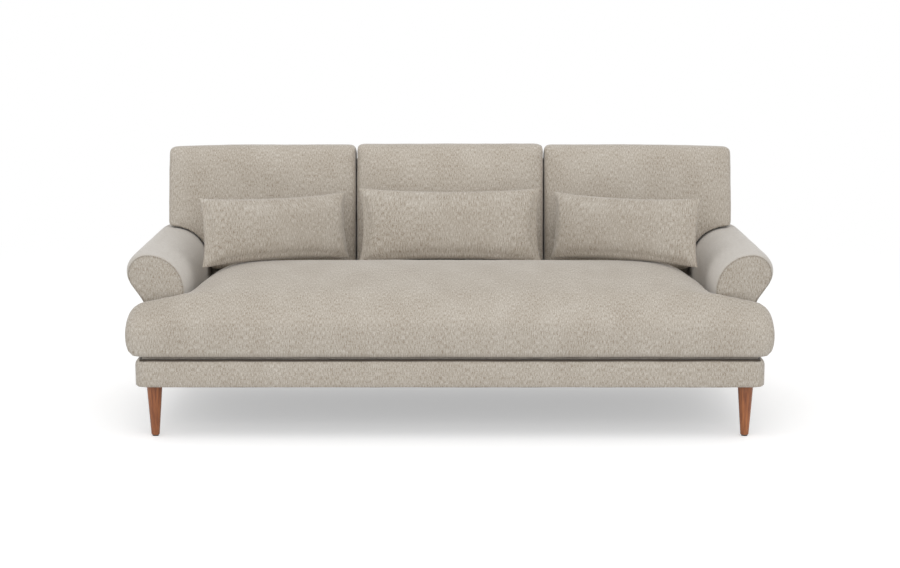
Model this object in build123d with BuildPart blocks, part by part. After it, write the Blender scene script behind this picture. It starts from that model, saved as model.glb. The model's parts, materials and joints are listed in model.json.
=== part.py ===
"""Three-place sofa: rolled arms, one T-shaped seat cushion, loose back cushions and lumbar pillows.

Millimetres, +Z up, the front faces -Y. The origin is on the floor under the middle of the sofa.
"""
import math
import os

from build123d import *

os.makedirs("parts", exist_ok=True)

# Overall depth, from the seat cushion's front to the rear top edge of the back
OVERALL_DEPTH = 994.0
# Clearances: soft or wooden pieces that rest on each other, threads, and cushions beside the arms
FIT = 0.3
THREAD_FIT = 0.05
BOLT_FIT = 0.4
CUSHION_FIT = 2.5

# Legs
LEG_HEIGHT = 164.0
LEG_TOP = 48.5
LEG_FOOT = 25.0
LEG_FOOT_ROUND = 2.0
LEG_INSET = 54.0
GLIDE_HEIGHT = 4.0
GLIDE_WIDTH = 19.0
GLIDE_PIN = 4.0
GLIDE_PIN_LENGTH = 12.0
PLATE_SIDE = 62.0
PLATE_THICKNESS = 2.5
PLATE_CORNER = 8.0
SCREW_SPREAD = 46.0
SCREW_SHANK = 4.0
SCREW_HEAD = 8.0
SCREW_LENGTH = 22.0
SCREW_POINT = 3.0
LEG_BOLT_IN_LEG = 32.0
LEG_BOLT_IN_BASE = 28.0

# Bolts that hold the arms and the back
BOLT = 8.0
BOLT_HEAD = 15.0
BOLT_HEAD_HEIGHT = 5.0
BOLT_GRIP = 38.0
ARM_BOLT_PITCH = 240.0
ARM_BOLT_IN = 38.0
BACK_BOLT_XS = (250.0, 750.0)
ARM_BACK_BOLT_HEIGHTS = (80.0, 190.0)
ARM_BACK_GRIP = 28.0

# Base
BASE_LENGTH = 1910.0
BASE_HEIGHT = 82.0
BASE_SETBACK = 17.0
BASE_LEDGE = 3.0
BASE_PADDING = 22.0
BASE_CORNER = 34.0
BASE_TOP_ROUND = 16.0
BASE_FOOT_ROUND = 5.0
RAIL = 28.0
REAR_RAIL_STEP = 22.0
BEARER = 50.0
STRETCHER = 34.0
STRETCHER_HEIGHT = 40.0
CORNER_BLOCK = 70.0
DUST_COVER = 2.0
DUST_COVER_EDGE = 3.0
DECK_PAD = 15.0
DECK_RISE = 8.0

# Flat zigzag seat springs and the clips that hold their ends
SPRING_COUNT = 11
SPRING_PITCH = 145.0
SPRING_TURNS = 34
SPRING_WIDTH = 48.0
SPRING_WIRE = 4.0
CLIP_WIDTH = 18.0
CLIP_DEPTH = 12.0
CLIP_WALL = 1.2

# Arms: the section is a broad inner crown, a tighter outer roll and a tuck down to a flat panel
SEAT_WIDTH = 1624.0
ARM_TOP = 551.0
ARM_CROWN = 113.0
ARM_ROLL = 61.5
ARM_TUCK_ANGLE = 35.0
ARM_TUCK_ROUND = 70.0
ARM_PANEL_WIDTH = 1872.0
ARM_SETBACK = 132.0
ARM_COVER = 4.0
ARM_PADDING = 22.0
ARM_FACING = 6.0
ARM_FACING_ROUND = 2.5
ARM_BOARD = 18.0
ARM_SLAT_WIDTH = 55.0
ARM_SLAT_RISE = 95.0
TOP_SLAT_RISE = 6.0

# Back frame, leaning to the rear
BACK_RAKE = 9.0
BACK_LENGTH = 1860.0
BACK_HEIGHT = 530.0
BACK_POST = 35.0
BACK_POST_WIDTH = 50.0
BACK_RAIL_HEIGHT = 60.0
BACK_LINING = 8.0
BACK_WEBBING = 2.0
BACK_WEBBING_WIDTH = 50.0
BACK_WEBBING_HEIGHTS = (140.0, 240.0, 340.0, 420.0)
OUTSIDE_BACK = 6.0
BACK_BAND = 9.0
BACK_BAND_ROUND = 6.0

# Seat cushion
SEAT_LENGTH = 1980.0
SEAT_TOP = 483.0
SEAT_FRONT_TOP = 440.0
SEAT_REAR_TOP = 394.0
SEAT_SIDE_TOP = 402.0
SEAT_REAR_SIDE_TOP = 350.0
SEAT_SIDE_FALL = 212.0
SEAT_FALL_POWER = 2.3
SEAT_FALL_SHARES = (0.3, 0.55, 0.8, 1.0)
SEAT_EAR_SLOPE = 0.21
SEAT_CROWN_Y = -80.0
SEAT_BULLNOSE = 97.0
SEAT_UNDERCUT = 30.0
SEAT_REAR_TUCK = 14.0
SEAT_REAR_GAP = 18.0
SEAT_END_ROUND = 62.0
SEAT_END_DRAW = 40.0
CUSHION_COVER = 3.0
CORE_FIT = 0.5
# Power of the rounding at the cushions' ends: 2 is an ellipse, more is blunter
END_FULLNESS = 3.5
END_SHARES = (0.55, 0.85)
SEAT_LAST_STATION = 0.985

# How cushions and pillows are settled on the seat
REST_FIT = 0.5
SETTLE_SAMPLES = 16
SETTLE_STEPS = 8

# Back cushions
BACK_CUSHIONS = 3
BACK_CUSHIONS_LENGTH = 1892.0
BACK_CUSHION_TOP = 579.0
BACK_CUSHION_EDGE = 136.0
BACK_CUSHION_CROWN = 18.0
BACK_CUSHION_END_CROWN = 4.0
BACK_CUSHION_BULGE = 12.0
BACK_CUSHION_END_ROUND = 26.0
BACK_CUSHION_END_DRAW = 16.0
BACK_CUSHION_GAP = 1.0
BACK_CUSHION_SHARES = (0.0, 0.35, 0.62, 0.84)
CROWN_FULLNESS = 4

# Lumbar pillows
LUMBAR_DRAW = 9.0
LUMBAR_EDGE = 5.0
LUMBAR_COVER = 2.0
LUMBAR_FULLNESS = 0.6
LUMBAR_SHARES = (0.0, 0.4, 0.75, 0.93, 1.0)
LUMBAR_GAP = 3.0
MIDDLE_LUMBAR_WIDTH = 590.0
MIDDLE_LUMBAR_HEIGHT = 250.0
MIDDLE_LUMBAR_THICKNESS = 124.0
SIDE_LUMBAR_WIDTH = 548.0
SIDE_LUMBAR_HEIGHT = 224.0
SIDE_LUMBAR_THICKNESS = 118.0
SIDE_LUMBAR_X = 565.0
SIDE_LUMBAR_FORWARD = 208.0
SIDE_LUMBAR_YAW = 37.5
SIDE_LUMBAR_LEAN = 7.0
SIDE_LUMBAR_ROLL = 1.7

# Zips of the seat and back cushions
SEAT_ZIP_LENGTH = 1100.0
BACK_ZIP_LENGTH = 480.0
BACK_ZIP_FROM_LINING = 30.0
ZIP_TAPE = 16.0
ZIP_TAPE_THICKNESS = 1.2
ZIP_CHAIN = 4.5
ZIP_CHAIN_HEIGHT = 1.8
SLIDER_LENGTH = 12.0
SLIDER_WIDTH = 9.0
SLIDER_HEIGHT = 4.5
SLIDER_END_MARGIN = 4.0
PULL_LENGTH = 24.0
PULL_WIDTH = 6.0
PULL_THICKNESS = 1.2

# Heights
base_bottom = LEG_HEIGHT
base_top = base_bottom + BASE_HEIGHT
rail_bottom = base_bottom + PLATE_THICKNESS
clip_half = SPRING_WIRE / 2 + FIT + CLIP_WALL
deck_top = base_top + DECK_RISE
deck_bottom = deck_top - DECK_PAD
wire_z = deck_bottom - FIT - clip_half
rail_top = wire_z - clip_half
arm_board_top = rail_top + ARM_BOARD
seat_bottom = deck_top + FIT

# The back's plane: x along the sofa, y up the rake, z out of the lining towards the front
sin_rake = math.sin(math.radians(BACK_RAKE))
cos_rake = math.cos(math.radians(BACK_RAKE))
timber_front = BACK_LINING + FIT + BACK_WEBBING + FIT
back_thickness = timber_front + BACK_POST + FIT + OUTSIDE_BACK
back_y = OVERALL_DEPTH / 2 - BACK_HEIGHT * sin_rake - back_thickness * cos_rake
back_plane = Plane(
    origin=(0, back_y, base_top), x_dir=(1, 0, 0), z_dir=(0, -cos_rake, sin_rake)
)
timber_top = BACK_HEIGHT - BACK_BAND - FIT
timber_x = BACK_LENGTH / 2 - BACK_BAND - FIT

# Lengths and depths in plan
seat_front = -OVERALL_DEPTH / 2
seat_rear = back_y - SEAT_REAR_GAP
base_front = seat_front + BASE_SETBACK
base_rear = back_y + back_thickness / cos_rake + BASE_LEDGE
base_x = BASE_LENGTH / 2
rail_x = base_x - BASE_PADDING
rail_front = base_front + BASE_PADDING
rail_rear = base_rear - BASE_PADDING
rear_rail_front = rail_rear - 2 * REAR_RAIL_STEP
arm_x = SEAT_WIDTH / 2
arm_front = seat_front + ARM_SETBACK
arm_inside_front = arm_front + ARM_FACING + FIT
arm_inside_rear = FIT + ARM_FACING + FIT
arm_core_inset = ARM_COVER + FIT + ARM_PADDING + FIT
arm_far = OVERALL_DEPTH
leg_places = {
    "front_left": (-base_x + LEG_INSET, base_front + LEG_INSET),
    "front_right": (base_x - LEG_INSET, base_front + LEG_INSET),
    "rear_left": (-base_x + LEG_INSET, base_rear - LEG_INSET),
    "rear_right": (base_x - LEG_INSET, base_rear - LEG_INSET),
}
SIDES = {"left": -1, "right": 1}


def write(block, name):
    """Label a finished sub-part and write it as the file of its node."""
    block.part.label = name
    export_step(block.part, f"parts/{name}.step")


def slab(x0, x1, y0, y1, z0, z1, mode=Mode.ADD):
    """Add, cut or keep a box between two corners."""
    with BuildSketch(Plane.XY.offset(z0)) as area:
        with Locations(((x0 + x1) / 2, (y0 + y1) / 2)):
            Rectangle(x1 - x0, y1 - y0)
    extrude(area.sketch, amount=z1 - z0, mode=mode)


def rods(points, radius, z0, z1, mode=Mode.ADD):
    """Add or cut upright round rods at points of the plan."""
    with BuildSketch(Plane.XY.offset(z0)) as ends:
        with Locations(*points):
            Circle(radius)
    extrude(ends.sketch, amount=z1 - z0, mode=mode)


def back_slab(x0, x1, v0, v1, w0, w1, mode=Mode.ADD):
    """Add or cut a box in the back's plane: x along, v up the rake, w towards the front."""
    with BuildSketch(back_plane.offset(w0)) as area:
        with Locations(((x0 + x1) / 2, (v0 + v1) / 2)):
            Rectangle(x1 - x0, v1 - v0)
    extrude(area.sketch, amount=w1 - w0, mode=mode)


def back_rods(points, radius, w0, w1, mode=Mode.ADD):
    """Add or cut round rods square to the back's plane."""
    with BuildSketch(back_plane.offset(w0)) as ends:
        with Locations(*points):
            Circle(radius)
    extrude(ends.sketch, amount=w1 - w0, mode=mode)


def stand_on_base():
    """Trim the foot of a leaning piece level with the top of the base."""
    split(bisect_by=Plane.XY.offset(base_top), keep=Keep.TOP)


# Legs: tapered wood, with a nylon glide under each and a bolt into a plate above it
screw_places = [
    (x + i * SCREW_SPREAD / 2, y + j * SCREW_SPREAD / 2)
    for x, y in leg_places.values()
    for i in (-1, 1)
    for j in (-1, 1)
]
for place, (leg_x, leg_y) in leg_places.items():
    with BuildPart() as leg:
        with Locations((leg_x, leg_y, GLIDE_HEIGHT)):
            Cone(
                LEG_FOOT / 2,
                LEG_TOP / 2,
                LEG_HEIGHT - GLIDE_HEIGHT,
                align=(Align.CENTER, Align.CENTER, Align.MIN),
            )
        fillet(leg.edges().filter_by(GeomType.CIRCLE).sort_by(Axis.Z)[0], LEG_FOOT_ROUND)
        bolt_foot = base_bottom - LEG_BOLT_IN_LEG - FIT
        rods([(leg_x, leg_y)], BOLT / 2 + THREAD_FIT, bolt_foot, base_bottom, Mode.SUBTRACT)
        pin_top = GLIDE_HEIGHT + GLIDE_PIN_LENGTH + FIT
        rods([(leg_x, leg_y)], GLIDE_PIN / 2 + THREAD_FIT, GLIDE_HEIGHT, pin_top, Mode.SUBTRACT)
    write(leg, f"leg_{place}")

with BuildPart() as leg_glides:
    rods(leg_places.values(), GLIDE_WIDTH / 2, 0, GLIDE_HEIGHT)
    rods(leg_places.values(), GLIDE_PIN / 2, GLIDE_HEIGHT, GLIDE_HEIGHT + GLIDE_PIN_LENGTH)
write(leg_glides, "leg_glides")

with BuildPart() as leg_bolts:
    rods(
        leg_places.values(),
        BOLT / 2,
        base_bottom - LEG_BOLT_IN_LEG,
        base_bottom + LEG_BOLT_IN_BASE,
    )
write(leg_bolts, "leg_bolts")

with BuildPart() as leg_plates:
    with BuildSketch(Plane.XY.offset(base_bottom)):
        with Locations(*leg_places.values()):
            RectangleRounded(PLATE_SIDE, PLATE_SIDE, PLATE_CORNER)
    extrude(amount=PLATE_THICKNESS)
    rods(leg_places.values(), BOLT / 2 + THREAD_FIT, base_bottom, rail_bottom, Mode.SUBTRACT)
    for screw_x, screw_y in screw_places:
        with Locations(Plane(origin=(screw_x, screw_y, base_bottom), z_dir=(0, 0, -1))):
            CounterSinkHole(SCREW_SHANK / 2 + THREAD_FIT, SCREW_HEAD / 2 + THREAD_FIT)
write(leg_plates, "leg_plates")

with BuildPart() as leg_plate_screws:
    for screw_x, screw_y in screw_places:
        screw_foot = (screw_x, screw_y, base_bottom)
        with BuildSketch(Plane(origin=screw_foot, x_dir=(1, 0, 0), z_dir=(0, -1, 0))):
            with BuildLine():
                Polyline(
                    (0, 0),
                    (SCREW_HEAD / 2, 0),
                    (SCREW_SHANK / 2, (SCREW_HEAD - SCREW_SHANK) / 2),
                    (SCREW_SHANK / 2, SCREW_LENGTH - SCREW_POINT),
                    (0, SCREW_LENGTH),
                    close=True,
                )
            make_face()
        revolve(axis=Axis(screw_foot, (0, 0, 1)))
write(leg_plate_screws, "leg_plate_screws")


def fastener_bores():
    """Cut the pilot holes for the leg plates' screws and the clearance for the leg bolts."""
    screw_tip = base_bottom + SCREW_LENGTH + FIT
    rods(screw_places, SCREW_SHANK / 2 + THREAD_FIT, rail_bottom, screw_tip, Mode.SUBTRACT)
    bolt_tip = base_bottom + LEG_BOLT_IN_BASE + FIT
    rods(leg_places.values(), BOLT / 2 + BOLT_FIT, rail_bottom, bolt_tip, Mode.SUBTRACT)


# Base: a rectangle of rails with two bearers under the arms and a stretcher in the middle
arm_bolt_x = arm_x + ARM_BOLT_IN
arm_bolt_places = [
    (sign * arm_bolt_x, step * ARM_BOLT_PITCH) for sign in SIDES.values() for step in (-1, 0, 1)
]
back_bolt_y = rail_rear - REAR_RAIL_STEP / 2
back_bolt_places = [(sign * x, back_bolt_y) for sign in SIDES.values() for x in BACK_BOLT_XS]
back_bolt_seat = rail_bottom + BOLT_HEAD_HEIGHT + FIT

with BuildPart() as front_rail:
    slab(-rail_x, rail_x, rail_front, rail_front + RAIL, rail_bottom, rail_top)
    fastener_bores()
write(front_rail, "front_rail")

with BuildPart() as rear_rail:
    slab(-rail_x, rail_x, rear_rail_front, rail_rear, rail_bottom, rail_top)
    slab(-rail_x, rail_x, rail_rear - REAR_RAIL_STEP, rail_rear, rail_top, base_top)
    fastener_bores()
    rods(back_bolt_places, BOLT / 2 + BOLT_FIT, rail_bottom, base_top, Mode.SUBTRACT)
    rods(back_bolt_places, BOLT_HEAD / 2 + BOLT_FIT, rail_bottom, back_bolt_seat, Mode.SUBTRACT)
write(rear_rail, "rear_rail")

with BuildPart() as side_rails:
    for sign in SIDES.values():
        inner, outer = sorted((sign * (rail_x - RAIL), sign * rail_x))
        slab(inner, outer, rail_front + RAIL, rear_rail_front, rail_bottom, rail_top)
    fastener_bores()
write(side_rails, "side_rails")

with BuildPart() as arm_bearers:
    for sign in SIDES.values():
        inner, outer = sorted((sign * arm_x, sign * (arm_x + BEARER)))
        slab(inner, outer, rail_front + RAIL, rear_rail_front, rail_bottom, rail_top)
    bolt_tip = rail_top - BOLT_GRIP - FIT
    rods(arm_bolt_places, BOLT / 2 + THREAD_FIT, bolt_tip, rail_top, Mode.SUBTRACT)
    fastener_bores()
write(arm_bearers, "arm_bearers")

with BuildPart() as center_stretcher:
    slab(
        -STRETCHER / 2,
        STRETCHER / 2,
        rail_front + RAIL,
        rear_rail_front,
        rail_bottom,
        rail_bottom + STRETCHER_HEIGHT,
    )
write(center_stretcher, "center_stretcher")

with BuildPart() as corner_blocks:
    for sign in SIDES.values():
        inner, outer = sorted((sign * (arm_x + BEARER), sign * (rail_x - RAIL)))
        block_front = rail_front + RAIL
        slab(inner, outer, block_front, block_front + CORNER_BLOCK, rail_bottom, rail_top)
        slab(inner, outer, rear_rail_front - CORNER_BLOCK, rear_rail_front, rail_bottom, rail_top)
    fastener_bores()
write(corner_blocks, "corner_blocks")


def padded_base(block):
    """The outside of the padded base: a low box with soft edges, hollow for the rails."""
    with BuildSketch(Plane.XY.offset(base_bottom)) as plan:
        with Locations((0, (base_front + base_rear) / 2)):
            RectangleRounded(BASE_LENGTH, base_rear - base_front, BASE_CORNER)
    extrude(plan.sketch, amount=BASE_HEIGHT)
    fillet(block.edges().group_by(Axis.Z)[-1], BASE_TOP_ROUND)
    fillet(block.edges().group_by(Axis.Z)[0], BASE_FOOT_ROUND)
    slab(-rail_x, rail_x, rail_front, rail_rear, base_bottom, base_top, Mode.SUBTRACT)


with BuildPart() as base_cover_front:
    padded_base(base_cover_front)
    slab(-base_x, base_x, base_front, rail_front, base_bottom, base_top, Mode.INTERSECT)
write(base_cover_front, "base_cover_front")

with BuildPart() as base_cover_rear:
    padded_base(base_cover_rear)
    slab(-base_x, base_x, rail_rear, base_rear, base_bottom, base_top, Mode.INTERSECT)
write(base_cover_rear, "base_cover_rear")

with BuildPart() as base_cover_sides:
    padded_base(base_cover_sides)
    slab(-base_x, base_x, rail_front, rail_rear, base_bottom, base_top, Mode.INTERSECT)
write(base_cover_sides, "base_cover_sides")

with BuildPart() as dust_cover:
    edge = DUST_COVER_EDGE
    with BuildSketch(Plane.XY.offset(base_bottom)):
        with Locations((0, (rail_front + rail_rear) / 2)):
            Rectangle(2 * (rail_x - edge), rail_rear - rail_front - 2 * edge)
        with Locations(*leg_places.values()):
            Rectangle(PLATE_SIDE + 2 * edge, PLATE_SIDE + 2 * edge, mode=Mode.SUBTRACT)
    extrude(amount=DUST_COVER)
write(dust_cover, "dust_cover")

# Seat springs lie flat between the front and rear rails
spring_front = rail_front + RAIL / 2
spring_rear = rear_rail_front + REAR_RAIL_STEP / 2
spring_step = (spring_rear - spring_front) / SPRING_TURNS
spring_bar = SPRING_WIDTH / 2 - spring_step / 2
spring_xs = [(i - (SPRING_COUNT - 1) / 2) * SPRING_PITCH for i in range(SPRING_COUNT)]

with BuildPart() as seat_springs:
    for spring_x in spring_xs:
        with BuildLine(Plane.XY.offset(wire_z)) as zigzag:
            Line((spring_x - spring_bar, spring_front), (spring_x + spring_bar, spring_front))
            for turn in range(SPRING_TURNS):
                side = 1 if turn % 2 == 0 else -1
                near = spring_front + turn * spring_step
                far = near + spring_step
                turn_x = spring_x + side * spring_bar
                tip = (turn_x + side * spring_step / 2, (near + far) / 2)
                ThreePointArc((turn_x, near), tip, (turn_x, far))
                Line((turn_x, far), (spring_x - side * spring_bar, far))
        start = (spring_x - spring_bar, spring_front, wire_z)
        with BuildSketch(Plane(origin=start, x_dir=(0, 1, 0), z_dir=(1, 0, 0))):
            Circle(SPRING_WIRE / 2)
        sweep(path=zigzag.wires()[0])
write(seat_springs, "seat_springs")

with BuildPart() as spring_clips:
    for spring_x in spring_xs:
        for clip_y in (spring_front, spring_rear):
            slab(
                spring_x - CLIP_WIDTH / 2,
                spring_x + CLIP_WIDTH / 2,
                clip_y - CLIP_DEPTH / 2,
                clip_y + CLIP_DEPTH / 2,
                rail_top,
                wire_z + clip_half,
            )
    for clip_y in (spring_front, spring_rear):
        reach = spring_xs[-1] + SPRING_WIDTH
        with BuildSketch(Plane(origin=(-reach, clip_y, wire_z), x_dir=(0, 1, 0), z_dir=(1, 0, 0))):
            Circle(SPRING_WIRE / 2 + FIT)
        extrude(amount=2 * reach, mode=Mode.SUBTRACT)
write(spring_clips, "spring_clips")

with BuildPart() as deck_pad:
    deck_rear = back_y - FIT
    deck_front = rail_front + FIT
    deck_arm = arm_front - FIT
    with BuildSketch(Plane.XY.offset(deck_bottom)):
        with Locations((0, (deck_front + deck_rear) / 2)):
            Rectangle(SEAT_WIDTH - 2 * FIT, deck_rear - deck_front)
        with Locations((0, (deck_front + deck_arm) / 2)):
            Rectangle(2 * (rail_x - FIT), deck_arm - deck_front)
    extrude(amount=DECK_PAD)
write(deck_pad, "deck_pad")


def arm_outline(sign, inset, foot):
    """The arm's section seen from the front, drawn in by an inset and cut off level at its foot."""
    roll_x = arm_x + ARM_CROWN
    crown_z = ARM_TOP - ARM_CROWN
    roll_z = ARM_TOP - ARM_ROLL
    crown = ARM_CROWN - inset
    roll = ARM_ROLL - inset
    panel_x = ARM_PANEL_WIDTH / 2 - inset
    tuck = ARM_TUCK_ROUND + inset
    angle = math.radians(ARM_TUCK_ANGLE)
    out_x = math.cos(angle)
    out_z = -math.sin(angle)
    diagonal = math.sqrt(0.5)
    middle = math.radians((90 - ARM_TUCK_ANGLE) / 2)
    roll_end = (roll_x + roll * out_x, roll_z + roll * out_z)
    tuck_x = panel_x + tuck
    tuck_z = roll_end[1] - ((tuck_x - roll_end[0]) * out_x - tuck) / out_z
    half = math.hypot(out_x + 1, out_z)
    tuck_start = (tuck_x - tuck * out_x, tuck_z - tuck * out_z)
    tuck_middle = (tuck_x - tuck * (out_x + 1) / half, tuck_z - tuck * out_z / half)
    side = [
        (arm_x + inset, foot),
        (arm_x + inset, crown_z),
        (roll_x - crown * diagonal, crown_z + crown * diagonal),
        (roll_x, crown_z + crown),
        (roll_x + roll * math.cos(middle), roll_z + roll * math.sin(middle)),
        roll_end,
        tuck_start,
        tuck_middle,
        (panel_x, tuck_z),
        (panel_x, foot),
    ]
    points = [(sign * x, z) for x, z in side]
    with BuildLine() as outline:
        Line(points[0], points[1])
        ThreePointArc(points[1], points[2], points[3])
        ThreePointArc(points[3], points[4], points[5])
        Line(points[5], points[6])
        ThreePointArc(points[6], points[7], points[8])
        Line(points[8], points[9])
        Line(points[9], points[0])
    make_face(outline.edges())


def arm_run(sign, inset, foot, front, mode=Mode.ADD):
    """A run of the arm's section from a plane near the front to past the leaning back."""
    with BuildSketch(Plane.XZ.offset(-front)) as end:
        arm_outline(sign, inset, foot)
    extrude(end.sketch, amount=front - arm_far, mode=mode)


def stop_at_back(clearance):
    """Trim a run of arm at a plane along the leaning back."""
    split(bisect_by=back_plane.offset(clearance), keep=Keep.TOP)


# Arms: boards and slats inside, padding round them, a fabric sleeve and a facing at each end
arm_back_bolt_x = timber_x - BACK_POST_WIDTH / 2
arm_back_bolt_places = [
    (sign * arm_back_bolt_x, v) for sign in SIDES.values() for v in ARM_BACK_BOLT_HEIGHTS
]
arm_foot = base_top + FIT
board_rear = arm_inside_rear + ARM_BOARD
board_inner_x = arm_x + ARM_COVER + FIT
board_outer_x = ARM_PANEL_WIDTH / 2 - ARM_COVER - FIT

with BuildPart() as arm_end_boards:
    for sign in SIDES.values():
        arm_run(sign, arm_core_inset, arm_board_top, arm_inside_front)
    stop_at_back(arm_inside_rear)
    split(bisect_by=back_plane.offset(board_rear), keep=Keep.BOTTOM)
    back_rods(
        arm_back_bolt_places, BOLT / 2 + BOLT_FIT, arm_inside_rear, board_rear, Mode.SUBTRACT
    )
    for sign in SIDES.values():
        with BuildSketch(Plane.XZ.offset(-arm_inside_front)):
            arm_outline(sign, arm_core_inset, arm_board_top)
        extrude(amount=-ARM_BOARD)
write(arm_end_boards, "arm_end_boards")

with BuildPart() as arm_bottom_boards:
    for sign in SIDES.values():
        inner, outer = sorted((sign * board_inner_x, sign * board_outer_x))
        slab(inner, outer, arm_inside_front, arm_far, rail_top, arm_board_top)
    stop_at_back(arm_inside_rear)
    rods(arm_bolt_places, BOLT / 2 + BOLT_FIT, rail_top, arm_board_top, Mode.SUBTRACT)
write(arm_bottom_boards, "arm_bottom_boards")

with BuildPart() as arm_slats:
    slat_front = arm_inside_front + ARM_BOARD
    slat_foot = arm_board_top + ARM_SLAT_RISE
    roll_x = arm_x + ARM_CROWN
    top_slat_z = ARM_TOP - ARM_ROLL + TOP_SLAT_RISE
    for sign in SIDES.values():
        wall_x = arm_x + arm_core_inset
        inner, outer = sorted((sign * wall_x, sign * (wall_x + ARM_BOARD)))
        slab(inner, outer, slat_front, arm_far, slat_foot, slat_foot + ARM_SLAT_WIDTH)
        wall_x = ARM_PANEL_WIDTH / 2 - arm_core_inset
        inner, outer = sorted((sign * wall_x, sign * (wall_x - ARM_BOARD)))
        slab(inner, outer, slat_front, arm_far, slat_foot, slat_foot + ARM_SLAT_WIDTH)
        inner, outer = sorted((sign * (roll_x - ARM_SLAT_WIDTH / 2), sign * roll_x))
        slab(inner, outer, slat_front, arm_far, top_slat_z, top_slat_z + ARM_BOARD)
    stop_at_back(board_rear)
write(arm_slats, "arm_slats")

with BuildPart() as arm_padding:
    padding_foot = arm_board_top + FIT
    for sign in SIDES.values():
        arm_run(sign, ARM_COVER + FIT, padding_foot, arm_inside_front)
        arm_run(
            sign,
            ARM_COVER + FIT + ARM_PADDING,
            padding_foot - ARM_BOARD,
            arm_inside_front,
            Mode.SUBTRACT,
        )
    stop_at_back(arm_inside_rear)
write(arm_padding, "arm_padding")

for side, sign in SIDES.items():
    with BuildPart() as arm_cover:
        arm_run(sign, 0, arm_foot, arm_inside_front)
        arm_run(sign, ARM_COVER, arm_foot - ARM_BOARD, arm_inside_front, Mode.SUBTRACT)
        stop_at_back(arm_inside_rear)
    write(arm_cover, f"arm_cover_{side}")

    with BuildPart() as arm_facing:
        with BuildSketch(Plane.XZ.offset(-arm_front)):
            arm_outline(sign, 0, arm_foot)
        extrude(amount=-ARM_FACING)
        fillet(arm_facing.faces().sort_by(Axis.Y)[0].edges(), ARM_FACING_ROUND)
    write(arm_facing, f"arm_facing_{side}")

with BuildPart() as arm_rear_facings:
    for sign in SIDES.values():
        arm_run(sign, 0, arm_foot, arm_inside_front)
    stop_at_back(FIT)
    split(bisect_by=back_plane.offset(FIT + ARM_FACING), keep=Keep.BOTTOM)
    back_rods(
        arm_back_bolt_places, BOLT / 2 + BOLT_FIT, 0, arm_inside_rear, Mode.SUBTRACT
    )
write(arm_rear_facings, "arm_rear_facings")

with BuildPart() as arm_bolts:
    rods(arm_bolt_places, BOLT / 2, rail_top - BOLT_GRIP, arm_board_top)
    rods(arm_bolt_places, BOLT_HEAD / 2, arm_board_top, arm_board_top + BOLT_HEAD_HEIGHT)
    back_rods(arm_back_bolt_places, BOLT / 2, -timber_front - ARM_BACK_GRIP, board_rear)
    back_rods(arm_back_bolt_places, BOLT_HEAD / 2, board_rear, board_rear + BOLT_HEAD_HEIGHT)
write(arm_bolts, "arm_bolts")

# Back: posts and rails, webbing across their front, a lining, an outside panel and a padded band
timber_rear = timber_front + BACK_POST
post_top = timber_top - BACK_RAIL_HEIGHT
inner_post_x = BACK_CUSHIONS_LENGTH / (2 * BACK_CUSHIONS)
post_xs = [-arm_back_bolt_x, -inner_post_x, inner_post_x, arm_back_bolt_x]

with BuildPart() as back_posts:
    for post_x in post_xs:
        back_slab(
            post_x - BACK_POST_WIDTH / 2,
            post_x + BACK_POST_WIDTH / 2,
            BACK_RAIL_HEIGHT,
            post_top,
            -timber_rear,
            -timber_front,
        )
    bolt_tip = timber_front + ARM_BACK_GRIP + FIT
    back_rods(
        arm_back_bolt_places, BOLT / 2 + THREAD_FIT, -bolt_tip, -timber_front, Mode.SUBTRACT
    )
write(back_posts, "back_posts")

with BuildPart() as back_rails:
    back_slab(-timber_x, timber_x, -BACK_RAIL_HEIGHT, BACK_RAIL_HEIGHT, -timber_rear, -timber_front)
    stand_on_base()
    rods(
        back_bolt_places,
        BOLT / 2 + THREAD_FIT,
        base_top,
        base_top + BOLT_GRIP + FIT,
        Mode.SUBTRACT,
    )
    back_slab(-timber_x, timber_x, post_top, timber_top, -timber_rear, -timber_front)
write(back_rails, "back_rails")

with BuildPart() as back_bolts:
    rods(back_bolt_places, BOLT / 2, back_bolt_seat, base_top + BOLT_GRIP)
    rods(back_bolt_places, BOLT_HEAD / 2, rail_bottom + FIT, back_bolt_seat)
write(back_bolts, "back_bolts")

with BuildPart() as back_webbing:
    for strip_v in BACK_WEBBING_HEIGHTS:
        back_slab(
            -timber_x,
            timber_x,
            strip_v - BACK_WEBBING_WIDTH / 2,
            strip_v + BACK_WEBBING_WIDTH / 2,
            FIT - timber_front,
            -BACK_LINING - FIT,
        )
write(back_webbing, "back_webbing")

with BuildPart() as back_lining:
    back_slab(-timber_x, timber_x, -BACK_RAIL_HEIGHT, timber_top, -BACK_LINING, 0)
    stand_on_base()
    back_rods(arm_back_bolt_places, BOLT / 2 + BOLT_FIT, -BACK_LINING, 0, Mode.SUBTRACT)
write(back_lining, "back_lining")

with BuildPart() as outside_back:
    back_slab(
        -timber_x, timber_x, -BACK_RAIL_HEIGHT, timber_top, -back_thickness, -timber_rear - FIT
    )
    stand_on_base()
write(outside_back, "outside_back")

with BuildPart() as back_band:
    band_x = BACK_LENGTH / 2
    back_slab(-band_x, band_x, timber_top + FIT, BACK_HEIGHT, -back_thickness, 0)
    fillet(back_band.faces().sort_by(Axis.Z)[-1].edges().filter_by(Axis.X), BACK_BAND_ROUND)
    for sign in SIDES.values():
        inner, outer = sorted((sign * (timber_x + FIT), sign * band_x))
        back_slab(inner, outer, -BACK_RAIL_HEIGHT, timber_top, -back_thickness, 0)
    stand_on_base()
write(back_band, "back_band")


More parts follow.
